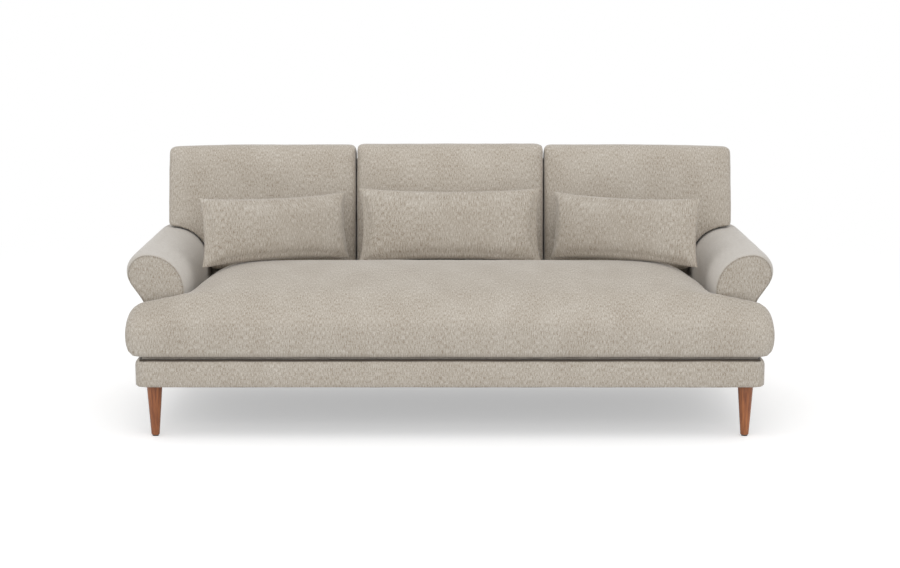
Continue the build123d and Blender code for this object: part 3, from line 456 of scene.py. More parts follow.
@dataclass(frozen=True)
class Stuffing:
    """How a padded form is filled: evened out, then swollen by a short cloth simulation."""

    voxel: float
    cap: float
    ease: int
    pressure: float = 4.0
    frames: int = 20
    quality: int = 3
    drive: float = 1.5
    measure: int = 90
    quick_lift: float = 0.7

    def even(self, obj: bpy.types.Object) -> None:
        """Remesh a closed form into even small faces and ease its edges."""
        modify(obj, "REMESH", mode="VOXEL", voxel_size=self.voxel)
        modify(obj, "SMOOTH", factor=0.5, iterations=self.ease)

    def swell(self, obj: bpy.types.Object, freedom: Chart) -> None:
        """Blow the form up like a filled cover, by the simulated lift scaled under its cap.

        Args:
            obj: the evened form.
            freedom: the share of the movement each vertex keeps, from places and normals.
        """
        rest, facing = points(obj), normals(obj)
        lift = np.full(len(rest), self.quick_lift)
        self._simulate(obj)
        lift = np.einsum("ij,ij->i", points(obj) - rest, facing).clip(0)
        lift *= self.drive / max(np.percentile(lift, self.measure), self.cap)
        lift = self.cap * np.tanh(lift) * freedom(rest, facing)
        set_points(obj, rest + facing * lift[:, None])
        modify(obj, "SUBSURF", levels=1, render_levels=1)

    def _simulate(self, obj: bpy.types.Object) -> None:
        """Run the cloth under inner pressure without weight, and keep its last shape.

        Args:
            obj: the evened form.
        """
        activate(obj)
        cloth = obj.modifiers.new("Cloth", "CLOTH")
        cloth.settings.quality = self.quality
        cloth.settings.use_pressure = True
        cloth.settings.uniform_pressure_force = self.pressure
        cloth.settings.effector_weights.gravity = 0.0
        cloth.collision_settings.use_collision = False
        cloth.point_cache.frame_start = 1
        cloth.point_cache.frame_end = self.frames
        scene = bpy.context.scene
        for step in range(1, self.frames + 1):
            scene.frame_set(step)
        bpy.ops.object.modifier_apply(modifier=cloth.name)
        scene.frame_set(1)


def finish_piece(
    obj: bpy.types.Object,
    body: str,
    slot: Slot,
    finish: bpy.types.Material,
    nodes: Sequence[str] = (),
    fill: float | None = None,
) -> bpy.types.Object:
    """Give a piece its finish, hang it on its body and hide the CAD nodes it stands for.

    Args:
        obj: the finished mesh.
        body: the CAD body it moves with.
        slot: the record's material slot; not used.
        finish: its material.
        nodes: the CAD nodes it stands for.
        fill: how full it is, where it is padded; not used.

    Returns:
        The same object.
    """
    obj.data.materials.clear()
    obj.data.materials.append(finish)
    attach(obj, body)
    if nodes:
        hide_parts(*nodes)
    log.info("%s: %d faces on %s", obj.name, len(obj.data.polygons), body)
    return obj


def smooth_rounds(obj: bpy.types.Object) -> None:
    """Shade a piece's rounded edges smooth and leave its flat faces flat."""
    activate(obj)
    bpy.ops.object.shade_smooth_by_angle(angle=CREASE)


def upholster(
    obj: bpy.types.Object,
    cloth: bpy.types.Material,
    nodes: Sequence[str] = (),
    fill: float | None = None,
    body: str = FRAME_BODY,
    chart: Chart = box_chart,
) -> bpy.types.Object:
    """Lay the cover's cloth on a shaped piece and finish it as upholstery.

    Args:
        obj: the shaped piece.
        cloth: the cover's material.
        nodes: the CAD nodes it stands for.
        fill: how full it is, where it is padded.
        body: the CAD body it moves with.
        chart: how the cloth lies on it.

    Returns:
        The same object.
    """
    lay_cloth(obj, chart)
    return finish_piece(obj, body, Slot.UPHOLSTERY, cloth, nodes, fill)


# Shading


class Wire:
    """An output socket that takes part in Python sums."""

    def __init__(self, net: "Net", socket: bpy.types.NodeSocket) -> None:
        """Keep the socket and the tree it belongs to."""
        self.net = net
        self.socket = socket

    def _math(self, operation: str, first: Any, second: Any) -> "Wire":
        """A Math node on two values."""
        return self.net.node("ShaderNodeMath", {"operation": operation}, {0: first, 1: second})[0]

    def __add__(self, other: Any) -> "Wire":
        """Sum."""
        return self._math("ADD", self, other)

    def __sub__(self, other: Any) -> "Wire":
        """Difference."""
        return self._math("SUBTRACT", self, other)

    def __rsub__(self, other: Any) -> "Wire":
        """Difference from a number."""
        return self._math("SUBTRACT", other, self)

    def __mul__(self, other: Any) -> "Wire":
        """Product."""
        return self._math("MULTIPLY", self, other)

    __radd__ = __add__
    __rmul__ = __mul__


class Made:
    """A node that has been added, read by its outputs."""

    def __init__(self, net: "Net", node: bpy.types.Node) -> None:
        """Keep the node and its tree."""
        self.net = net
        self.node = node

    def __getitem__(self, key: str | int) -> Wire:
        """One output, by name or number."""
        return Wire(self.net, self.node.outputs[key])


class Net:
    """The node tree of a material or a world."""

    def __init__(self, owner: bpy.types.Material | bpy.types.World) -> None:
        """Start with an empty tree.

        Args:
            owner: the new material or world.
        """
        self.owner = owner
        owner.use_nodes = True
        self.tree = owner.node_tree
        self.tree.nodes.clear()

    def node(self, kind: str, settings: dict[str, Any], sockets: dict[Any, Any]) -> Made:
        """Add a node.

        Args:
            kind: the node's type.
            settings: its own properties, and a ramp's stops.
            sockets: values or wires for its inputs.

        Returns:
            The added node.
        """
        node = self.tree.nodes.new(kind)
        for key, value in settings.items():
            if key == "stops":
                self._set_stops(node.color_ramp, value)
            else:
                setattr(node, key, value)
        for key, value in sockets.items():
            if isinstance(value, Wire):
                self.tree.links.new(value.socket, node.inputs[key])
            else:
                node.inputs[key].default_value = value
        return Made(self, node)

    def _set_stops(self, ramp: bpy.types.ColorRamp, stops: Sequence[tuple[float, Colour]]) -> None:
        """Fill a colour ramp.

        Args:
            ramp: the ramp.
            stops: each stop's place and colour.
        """
        while len(ramp.elements) < len(stops):
            ramp.elements.new(1.0)
        for element, (place, colour) in zip(ramp.elements, stops):
            element.position = place
            element.color = colour

    def cloth(self) -> Wire:
        """The piece's own cloth map."""
        return self.node("ShaderNodeUVMap", {"uv_map": CLOTH_MAP}, {})["UV"]

    def seam(self) -> Wire:
        """The painted shade noted in a piece's seam grooves and in the gap under the seat cushion's
        lip, nothing elsewhere.
        """
        settings = {"attribute_type": "GEOMETRY", "attribute_name": PAINTED_SHADE}
        return self.node("ShaderNodeAttribute", settings, {})["Fac"]

    def place(self) -> Wire:
        """Places in the sofa's frame."""
        return self.node("ShaderNodeTexCoord", {}, {})["Object"]

    def seen(self) -> Wire:
        """Tell what the camera sees, straight or by way of a mirror or glass.

        Returns:
            1 where it looks and 0 elsewhere.
        """
        path = self.node("ShaderNodeLightPath", {}, {})
        straight = path["Is Camera Ray"]
        once_or_more = straight + path["Is Glossy Ray"] + path["Is Transmission Ray"]
        return self.node("ShaderNodeClamp", {}, {"Value": once_or_more})[0]

    def streaks(self, where: Wire, size: Sequence[float], detail: float = 1.0) -> Wire:
        """Draw noise out along each axis.

        Args:
            where: the places that it is read at.
            size: the length of a streak along each axis, in metres.
            detail: how many finer layers it has.

        Returns:
            The noise, from 0 to 1.
        """
        scale = [1 / length for length in size]
        settings = {"operation": "MULTIPLY"}
        drawn = self.node("ShaderNodeVectorMath", settings, {0: where, 1: scale})[0]
        sockets = {"Vector": drawn, "Scale": 1.0, "Detail": detail, "Roughness": 0.55}
        return self.node("ShaderNodeTexNoise", {}, sockets)[0]

    def ramp(self, value: Wire, stops: Sequence[tuple[float, Colour]]) -> Wire:
        """A colour ramp on a value."""
        return self.node("ShaderNodeValToRGB", {"stops": stops}, {0: value})["Color"]

    def mix(self, factor: Any, first: Any, second: Any) -> Wire:
        """A mix of two colours."""
        settings = {"data_type": "RGBA"}
        return self.node("ShaderNodeMix", settings, {0: factor, 6: first, 7: second})[2]

    def bump(self, height: Wire, strength: float, depth: float) -> Wire:
        """A raised surface from a height."""
        sockets = {"Height": height, "Strength": strength, "Distance": depth}
        return self.node("ShaderNodeBump", {}, sockets)[0]

    def surface(self, sockets: dict[str, Any]) -> bpy.types.Material:
        """Finish the material with a principled surface.

        Args:
            sockets: values or wires for the surface's inputs.

        Returns:
            The finished material.
        """
        shader = self.node("ShaderNodeBsdfPrincipled", {}, sockets)
        self.node("ShaderNodeOutputMaterial", {}, {"Surface": shader[0]})
        return self.owner


def grey(level: float) -> Colour:
    """A neutral colour."""
    return (level, level, level, 1.0)


@dataclass(frozen=True)
class Chenille:
    """Heathered chenille: pale and brown slubs drawn out along the cloth over a fine yarn."""

    name: str = "chenille"
    brown: Colour = (0.262, 0.210, 0.160, 1.0)
    warm: Colour = (0.400, 0.350, 0.290, 1.0)
    ground: Colour = (0.478, 0.432, 0.371, 1.0)
    pale: Colour = (0.640, 0.604, 0.548, 1.0)
    # The near-black brown that painted shade darkens the cloth towards.
    seam: Colour = (0.060, 0.045, 0.032, 1.0)
    slub: tuple[float, float, float] = (0.0029, 0.0130, 1.0)
    yarn: tuple[float, float, float] = (0.0016, 0.0042, 1.0)
    cloud: tuple[float, float, float] = (0.11, 0.19, 1.0)
    relief: float = 0.5
    # Painted light: all colours are scaled by this, lighter above 1 and darker below.
    painted_light: float = 1.0

    def build(self) -> bpy.types.Material:
        """Make the cloth's material, with all its colours drawn lighter or darker by a level of
        painted light and shade.

        Returns:
            The finished material.
        """
        net = Net(bpy.data.materials.new(self.name))
        cloth = net.cloth()
        slub = net.streaks(cloth, self.slub, 2.0)
        yarn = net.streaks(cloth, self.yarn, 1.0)
        cloud = net.streaks(cloth, self.cloud, 2.0)
        tone = slub * 0.52 + yarn * 0.36 + cloud * 0.12
        ramp = ((0.34, self.brown), (0.44, self.warm), (0.52, self.ground), (0.66, self.pale))
        stops = [(at, (*(part * self.painted_light for part in colour[:3]), 1.0)) for at, colour in ramp]
        height = slub * 0.55 + yarn * 0.45
        return net.surface(
            {
                # Painted shade: the cloth's colour is mixed towards that brown wherever a piece
                # notes it.
                "Base Color": net.mix(net.seam(), net.ramp(tone, stops), self.seam),
                "Roughness": 0.92,
                "Specular IOR Level": 0.2,
                "Sheen Weight": 0.35,
                "Sheen Roughness": 0.4,
                "Normal": net.bump(height, self.relief, 0.002),
            }
        )


@dataclass(frozen=True)
class Wood:
    """Timber with grain along one axis, darker lines and fine pores."""

    name: str
    dark: Colour
    light: Colour
    grain: tuple[float, float, float] = (0.006, 0.006, 0.16)
    roughness: float = 0.42
    coat: float = 0.15

    def build(self) -> bpy.types.Material:
        """Make the timber's material.

        Returns:
            The finished material.
        """
        net = Net(bpy.data.materials.new(self.name))
        place = net.place()
        figure = net.streaks(place, self.grain, 4.0)
        pores = net.streaks(place, [side * 0.22 for side in self.grain], 2.0)
        stops = ((0.36, self.dark), (0.64, self.light))
        colour = net.ramp(figure * 0.75 + pores * 0.25, stops)
        return net.surface(
            {
                "Base Color": colour,
                "Roughness": self.roughness + (figure - 0.5) * 0.3,
                "Coat Weight": self.coat,
                "Coat Roughness": 0.3,
                "Normal": net.bump(pores, 0.25, 0.0006),
            }
        )


@dataclass(frozen=True)
class Steel:
    """Bright or dull steel with fine drawn lines."""

    name: str
    colour: Colour
    dull: Colour
    roughness: float = 0.36

    def build(self) -> bpy.types.Material:
        """Make the metal's material.

        Returns:
            The finished material.
        """
        net = Net(bpy.data.materials.new(self.name))
        place = net.place()
        marks = net.streaks(place, (0.012, 0.0008, 0.012), 3.0)
        stain = net.streaks(place, (0.05, 0.05, 0.05), 3.0)
        return net.surface(
            {
                "Base Color": net.ramp(stain, ((0.38, self.dull), (0.58, self.colour))),
                "Metallic": 1.0,
                "Roughness": self.roughness + (marks - 0.5) * 0.35,
                "Normal": net.bump(marks, 0.12, 0.0002),
            }
        )


@dataclass(frozen=True)
class PlainCloth:
    """A plain woven or bonded cloth: crossing threads over a slightly uneven ground."""

    name: str
    dark: Colour
    light: Colour
    thread: float = 0.0012
    roughness: float = 0.9

    def build(self) -> bpy.types.Material:
        """Make the cloth's material.

        Returns:
            The finished material.
        """
        net = Net(bpy.data.materials.new(self.name))
        place = net.place()
        long = self.thread * 9
        warp = net.streaks(place, (self.thread, long, long), 1.0)
        weft = net.streaks(place, (long, self.thread, self.thread), 1.0)
        weave = warp * 0.5 + weft * 0.5
        uneven = net.streaks(place, (0.05, 0.05, 0.05), 3.0)
        stops = ((0.38, self.dark), (0.62, self.light))
        return net.surface(
            {
                "Base Color": net.ramp(weave * 0.6 + uneven * 0.4, stops),
                "Roughness": self.roughness,
                "Sheen Weight": 0.1,
                "Normal": net.bump(weave, 0.4, 0.0008),
            }
        )


@dataclass(frozen=True)
class Moulded:
    """Moulded nylon with a fine grain and rubbed spots."""

    name: str
    colour: Colour
    worn: Colour

    def build(self) -> bpy.types.Material:
        """Make the plastic's material.

        Returns:
            The finished material.
        """
        net = Net(bpy.data.materials.new(self.name))
        place = net.place()
        grain = net.streaks(place, (0.0012, 0.0012, 0.0012), 2.0)
        rubbed = net.streaks(place, (0.012, 0.012, 0.012), 3.0)
        return net.surface(
            {
                "Base Color": net.ramp(rubbed, ((0.45, self.colour), (0.7, self.worn))),
                "Roughness": 0.5 + (grain - 0.5) * 0.4,
                "Normal": net.bump(grain, 0.2, 0.0003),
            }
        )


def finishes() -> dict[Slot, bpy.types.Material]:
    """Make every finish of the sofa, one for each material slot.

    Returns:
        The material of each slot.
    """
    kinds = {
        Slot.UPHOLSTERY: Chenille(),
        Slot.LEG_WOOD: Wood(
            "walnut", (0.172, 0.047, 0.013, 1), (0.395, 0.137, 0.046, 1), coat=0.03
        ),
        Slot.FRAME_WOOD: Wood(
            "pine", (0.52, 0.36, 0.20, 1), (0.78, 0.62, 0.41, 1), (0.16, 0.008, 0.008), 0.6, 0.0
        ),
        Slot.SPRING_STEEL: Steel("spring_steel", (0.30, 0.31, 0.33, 1), (0.16, 0.16, 0.17, 1)),
        Slot.HARDWARE: Steel("zinc", (0.62, 0.62, 0.60, 1), (0.44, 0.44, 0.43, 1), 0.3),
        Slot.GLIDE_NYLON: Moulded("glide_nylon", (0.05, 0.045, 0.04, 1), (0.12, 0.11, 0.1, 1)),
        Slot.LINING_CLOTH: PlainCloth("dust_cloth", (0.03, 0.03, 0.03, 1), (0.07, 0.07, 0.07, 1)),
        Slot.DECK_CLOTH: PlainCloth("deck_cloth", (0.29, 0.25, 0.21, 1), (0.46, 0.41, 0.35, 1)),
        Slot.FOAM: PlainCloth("foam", (0.74, 0.69, 0.55, 1), (0.88, 0.84, 0.72, 1), 0.003),
        Slot.FIBRE_FILL: PlainCloth("fibre_fill", (0.8, 0.8, 0.78, 1), (0.92, 0.92, 0.9, 1), 0.004),
        Slot.WEBBING: PlainCloth("webbing", (0.34, 0.25, 0.15, 1), (0.62, 0.51, 0.34, 1), 0.002),
        Slot.ZIP_TAPE: PlainCloth("zip_tape", (0.34, 0.29, 0.24, 1), (0.47, 0.42, 0.36, 1), 0.0006),
        Slot.ZIP_METAL: Steel("zip_metal", (0.42, 0.38, 0.32, 1), (0.28, 0.25, 0.21, 1), 0.34),
    }
    return {slot: kind.build() for slot, kind in kinds.items()}


# The sofa's sub-assemblies


@dataclass(frozen=True)
class BackPlane:
    """The leaning back's own axes: along the sofa, up the rake and out towards the front."""

    y: float = 0.3628287
    z: float = 0.246
    rake: float = math.radians(9.0)

    def matrix(self) -> Matrix:
        """From the back's axes to the sofa's frame.

        Returns:
            The matrix.
        """
        s, c = math.sin(self.rake), math.cos(self.rake)
        rows = ((1, 0, 0, 0), (0, s, -c, self.y), (0, c, s, self.z), (0, 0, 0, 1))
        return Matrix(rows)

    def front(self) -> Vector:
        """The direction out of the back, towards the front."""
        return Vector((0, -math.cos(self.rake), math.sin(self.rake)))

    def at(self, out: float) -> Vector:
        """A point of the plane at a distance in front of the back."""
        return Vector((0, self.y, self.z)) + self.front() * out


@dataclass
class SeatCushion:
    """The one long seat cushion: a bullnose front, a crowned top and ears before the arms."""

    cloth: bpy.types.Material
    end_round: float = 0.070
    end_fullness: float = 3.6
    end_draw: float = 0.040
    front_top: float = 0.440
    rear_top: float = 0.394
    side_top: float = 0.402
    rear_side_top: float = 0.350
    wall_x: float = 0.812
    side_fall: float = 0.212
    fall_power: float = 3.2
    ear_slope: float = 0.21
    bullnose: float = 0.097
    undercut: float = 0.012
    rear_tuck: float = 0.014
    crown_y: float = -0.080
    arm_gap: float = 0.0025
    inset: float = 0.005
    end_slack: float = 0.002
    lip: float = 0.008
    lip_depth: float = 0.030
    lip_ramp: float = 0.010
    side_ease: float = 0.020
    side_round: float = 0.032
    ease_from: tuple[float, float] = (-0.372, 0.33)
    ease_ramp: tuple[float, float] = (0.12, 0.06)
    ear_rear: float = -0.38
    notch_reach: float = 0.3
    cuts: int = 60
    end_pack: float = 0.55
    end_close: float = 0.998
    give: tuple[float, float] = (1.6, 0.3)
    waves: tuple[float, float] = (0.16, 0.003)
    fill: float = 0.8
    stuffing: Stuffing = Stuffing(voxel=0.0135, cap=0.008, ease=1)

    def build(self) -> bpy.types.Object:
        """Shape, fill and dress the cushion.

        Returns:
            The dressed piece.
        """
        low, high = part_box("seat_cushion_cover")
        piece = block("seat_cushion_padded", low, high, self.cuts)
        set_points(piece, self._form(points(piece), np.array(low), np.array(high)))
        for side in SIDES:
            near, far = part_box(f"arm_facing_{side.value}")
            notch_low = Vector((near.x - self.arm_gap, near.y - self.arm_gap, 0))
            notch_high = Vector((far.x + self.arm_gap, 1, 1))
            notch_low.x -= self.notch_reach * (side is Place.LEFT)
            notch_high.x += self.notch_reach * (side is Place.RIGHT)
            cut(piece, block("notch", notch_low, notch_high))
        self.stuffing.even(piece)
        self._ease_sides(piece)
        self.stuffing.swell(piece, self._freedom)
        ripple(piece, *self.waves)
        piece.data.shade_smooth()
        nodes = ["seat_cushion_cover", "seat_cushion_core"]
        return upholster(piece, self.cloth, nodes, self.fill, "seat_cushion")

    def _form(self, co: np.ndarray, low: np.ndarray, high: np.ndarray) -> np.ndarray:
        """Carry the points of a block onto the cushion's form.

        Args:
            co: points of the block.
            low: the block's lowest corner.
            high: its highest corner.

        Returns:
            The points on the form.
        """
        share = (co - low) / (high - low)
        side = share[:, 0] * 2 - 1
        t = np.abs(side)
        reach = high[0] - self.inset - self.end_slack
        x = reach * (1 - (1 - t) * (1 - self.end_pack * t**3))
        into = ((x - reach / self.end_close + self.end_round) / self.end_round).clip(0, 1)
        left = (1 - into**self.end_fullness) ** (1 / self.end_fullness)
        fall = ((x - self.wall_x + self.side_fall) / self.side_fall).clip(0, 1) ** self.fall_power
        drop = self.ear_slope * (x - self.wall_x).clip(0, None) + self.inset
        bottom = low[2]
        front_top = self.front_top - drop
        rear_top = self.rear_top - (self.rear_top - self.rear_side_top) * fall - drop
        crown = high[2] - (high[2] - self.side_top) * fall - drop
        middle = (bottom + front_top) / 2
        heights = (bottom, front_top, crown, rear_top)
        bottom, front_top, crown, rear_top = (middle + left * (z - middle) for z in heights)
        front = low[1] + self.inset + self.end_draw * (1 - left)
        rear = high[1]
        up, back = share[:, 2], share[:, 1]
        lower = (1 - 2 * up).clip(0, 1) ** 2
        upper = (2 * up - 1).clip(0, 1) ** 2
        y_front = front + left * (self.undercut * lower + self.bullnose * upper)
        y_rear = rear - left * self.rear_tuck * (lower + upper)
        near, far = front + left * self.bullnose, rear - left * self.rear_tuck
        y_top = near + back * (far - near)
        top = self._bow(y_top, ((near, front_top), (self.crown_y, crown), (far, rear_top)))
        y = y_front + back * (y_rear - y_front)
        ahead = ((front + self.lip_depth - y) / self.lip_ramp).clip(0, 1)
        hang = self.lip * ahead * (1 - 2 * up).clip(0, 1)
        return np.column_stack((np.sign(side) * x, y, bottom + up * (top - bottom) - left * hang))

    def _ease_sides(self, piece: bpy.types.Object) -> None:
        """Round the upper edges off where the cushion lies along the arms.

        Args:
            piece: the evened cushion.
        """
        co = points(piece)
        near = self.wall_x - np.abs(co[:, 0])
        into = (1 - near / self.side_round).clip(0, 1)
        behind, high = ((co[:, 1:] - self.ease_from) / self.ease_ramp).clip(0, 1).T
        co[:, 2] -= self.side_ease * (1 - np.sqrt(1 - into**2)) * behind * high
        set_points(piece, co)

    def _bow(self, y: np.ndarray, knots: Sequence[tuple[Any, Any]]) -> np.ndarray:
        """Bend an even bow through three knots.

        Args:
            y: the depths that are asked for.
            knots: the depth and the height of each knot.

        Returns:
            The bow's heights.
        """
        (a, za), (b, zb), (c, zc) = knots
        first = za * (y - b) * (y - c) / ((a - b) * (a - c))
        second = zb * (y - a) * (y - c) / ((b - a) * (b - c))
        return first + second + zc * (y - a) * (y - b) / ((c - a) * (c - b))

    def _freedom(self, co: np.ndarray, facing: np.ndarray) -> np.ndarray:
        """Let only the top, the front and the ears' ends swell.

        Args:
            co: the cushion's points.
            facing: their normals.

        Returns:
            The share of the swelling that each keeps.
        """
        ear = co[:, 1] < self.ear_rear
        out = np.maximum(np.maximum(facing[:, 2], -facing[:, 1]), np.abs(facing[:, 0]) * ear)
        return (out * self.give[0] - self.give[1]).clip(0, 1)


@dataclass
class BackCushion:
    """One loose back cushion with boxed edges and a crowned front."""

    cloth: bpy.types.Material
    place: Place
    plane: BackPlane = BackPlane()
    edge: float = 0.136
    round: float = 0.016
    crown: float = 0.018
    bulge: float = 0.012
    slump: float = 0.006
    inset: float = 0.004
    sink: float = 0.003
    side_gap: float = 0.0016
    arm_gap: float = 0.0025
    roll_x: float = 0.925
    roll_z: float = 0.438
    roll: float = 0.113
    room_reach: float = 1.2
    round_steps: int = 6
    drum_sides: int = 96
    seam_inset: float = 0.006
    seam_behind: float = 0.012
    seam_width: float = 0.006
    seam_depth: float = 0.0016
    give: tuple[float, float] = (1.5, 0.35)
    waves: tuple[float, float] = (0.11, 0.0028)
    fill: float = 0.75
    stuffing: Stuffing = Stuffing(voxel=0.010, cap=0.009, ease=4)

    def build(self) -> bpy.types.Object:
        """Shape, fill and dress the cushion.

        Returns:
            The dressed piece.
        """
        name = self.place.value
        matrix = self.plane.matrix()
        low, high = local_box(f"back_cushion_cover_{name}", matrix)
        foot = local_box("back_cushion_cover_middle", matrix)[0][1]
        low = np.array((low[0] + self.side_gap, foot, low[2]))
        top = high[1] - self.inset - self.sink * abs(self.place.sign)
        high = np.array((high[0] - self.side_gap, top, self.edge - self.inset))
        piece = block(f"back_cushion_padded_{name}", low, high)
        soften(piece, self.round, self.round_steps)
        put(piece, matrix)
        if self.place is not Place.MIDDLE:
            self._clear_arm(piece)
        self.stuffing.even(piece)
        self._crown(piece, low, high)
        self.stuffing.swell(piece, self._freedom)
        self._sew(piece, low, high)
        ripple(piece, *self.waves)
        piece.data.shade_smooth()
        nodes = [f"back_cushion_cover_{name}", f"back_cushion_core_{name}"]
        return upholster(piece, self.cloth, nodes, self.fill, f"back_cushion_{name}")

    def _clear_arm(self, piece: bpy.types.Object) -> None:
        """Take the room of the arm out of the lower outer corner.

        Args:
            piece: the cushion's rounded block.
        """
        sign = self.place.sign
        radius = self.roll + self.arm_gap
        bpy.ops.object.select_all(action="DESELECT")
        bpy.ops.mesh.primitive_cylinder_add(
            vertices=self.drum_sides,
            radius=radius,
            depth=2,
            location=(sign * self.roll_x, 0, self.roll_z),
            rotation=(math.pi / 2, 0, 0),
        )
        drum = adopt("arm_room")
        bpy.ops.object.transform_apply(location=True, rotation=True, scale=True)
        cut(piece, drum)
        beside, above = (self.roll_x - radius, self.roll_z), (self.roll_x, self.roll_z + radius)
        for inner, top in (beside, above):
            near, far = sorted((sign * inner, sign * self.room_reach))
            cut(piece, block("arm_room", (near, -1, -0.1), (far, 1, top)))

    def _crown(self, piece: bpy.types.Object, low: np.ndarray, high: np.ndarray) -> None:
        """Crown the front face, round the top over and let the outer end bulge and sink.

        Args:
            piece: the evened cushion.
            low: its lowest corner in the back's own axes.
            high: its highest corner in these.
        """
        at = carry(points(piece), self.plane.matrix().inverted())
        middle, half = (low + high) / 2, (high - low) / 2
        across, up, out = (((at - middle) / half).clip(-1, 1)).T
        outer = (across * self.place.sign).clip(0, 1) ** 2
        crown = self.crown * (1 - across**4) * (1 - up**4) * ((1 + out) / 2)
        sink = (self.bulge * out**2 + self.slump * outer) * (0.5 + up / 2) ** 3
        wide = self.place.sign * self.bulge / 4 * outer * (1 - up**2)
        at += np.column_stack((wide, -sink, crown))
        set_points(piece, carry(at, self.plane.matrix()))

    def _freedom(self, co: np.ndarray, facing: np.ndarray) -> np.ndarray:
        """Only the front and the top may swell."""
        out = np.maximum(facing @ np.array(self.plane.front()), facing[:, 2])
        return (out * self.give[0] - self.give[1]).clip(0, 1)

    def _sew(self, piece: bpy.types.Object, low: np.ndarray, high: np.ndarray) -> None:
        """Draw in the seam where the front face meets the boxed edge.

        Args:
            piece: the filled cushion.
            low: its lowest corner in the back's own axes.
            high: its highest corner in these.
        """
        inset, out = self.seam_inset, self.edge - self.seam_behind
        left, right = low[0] + inset, high[0] - inset
        bottom, top = low[1] + inset, high[1] - inset
        corners = [(left, bottom), (left, top), (right, top), (right, bottom), (left, bottom)]
        path = np.array([(u, v, out) for u, v in corners])
        line = carry(path, self.plane.matrix())
        press_seam(piece, line, self.seam_width, self.seam_depth, 0.0)


@dataclass
class LumbarPillow:
    """A knife-edged pillow with pointed corners and drawn-in sides."""

    cloth: bpy.types.Material
    place: Place
    yaw: float = 0.0
    lean: float = 0.0
    roll: float = 0.0
    draw: float = 0.010
    edge: float = 0.004
    point: float = 0.003
    tip: float = 0.007
    seam_ahead: float = 0.018
    slide: float = 0.0125
    low_top: float = 0.007
    fullness: float = 0.42
    slack: float = 0.012
    cuts: int = 26
    give: tuple[float, float] = (1.4, 0.2)
    waves: tuple[float, float] = (0.07, 0.002)
    fill: float = 0.65
    stuffing: Stuffing = Stuffing(voxel=0.006, cap=0.010, ease=1)

    def build(self) -> bpy.types.Object:
        """Shape, fill and dress the pillow.

        Returns:
            The dressed piece.
        """
        name = self.place.value
        axes = self._axes()
        low, high = local_box(f"lumbar_cover_{name}", axes)
        center, half = (low + high) / 2, (high - low) / 2 + (self.point, 0, 0)
        piece = block(f"lumbar_pillow_{name}", -Vector(half), Vector(half), self.cuts)
        set_points(piece, self._form(points(piece) / half, half))
        matrix = axes @ Matrix.Translation(center)
        put(piece, matrix)
        self.stuffing.even(piece)
        self.stuffing.swell(piece, self._freedom)
        ripple(piece, *self.waves)
        piece.data.shade_smooth()
        nodes = [f"lumbar_cover_{name}", f"lumbar_insert_{name}"]

        def chart(co: np.ndarray, facing: np.ndarray) -> np.ndarray:
            """The cloth's lengths at corners of the placed pillow."""
            return self._chart(carry(co, matrix.inverted()), half)

        return upholster(piece, self.cloth, nodes, self.fill, f"lumbar_{name}", chart)

    def _chart(self, co: np.ndarray, half: np.ndarray) -> np.ndarray:
        """Lay cloth flat over the front and on over the edges.

        Args:
            co: corners in the pillow's own axes.
            half: half its sizes.

        Returns:
            The lengths across and along the cloth.
        """
        share = co / half
        bend = np.sign(share[:, :2]) * np.abs(share[:, :2]) ** 3
        return co[:, :2] - co[:, 2:] * bend

    def _axes(self) -> Matrix:
        """The pillow's axes: along its width, up its height and out of its front."""
        leaning = Matrix.Rotation(math.pi / 2 - self.lean, 4, "X")
        return Matrix.Rotation(self.yaw, 4, "Z") @ leaning @ Matrix.Rotation(self.roll, 4, "Z")

    def _form(self, share: np.ndarray, half: np.ndarray) -> np.ndarray:
        """Carry a block's points onto the pillow's lens form.

        Args:
            share: the points, each from -1 to 1 along the three axes.
            half: half the pillow's sizes.

        Returns:
            The points on the form.
        """
        a, b, c = share.T
        tip = self.tip * (a * b) ** 6
        x = a * (half[0] - self.draw * (1 - b**2) + tip)
        y = b * (half[1] - self.draw * (1 - a**2) + tip / 2) - self.low_top * b.clip(0)
        full = ((1 - a**2) * (1 - b**2)).clip(0, 1) ** self.fullness
        z = c * (self.edge + (half[2] - self.slack) * full) + self.seam_ahead * (1 - full)
        return np.column_stack((x + self.place.sign * self.slide * (1 - full), y, z))

    def _freedom(self, co: np.ndarray, facing: np.ndarray) -> np.ndarray:
        """The front swells freely, and the rear stays where it rests."""
        out = facing @ np.array(self._axes().col[2][:3])
        return (out * self.give[0] - self.give[1]).clip(0, 1)


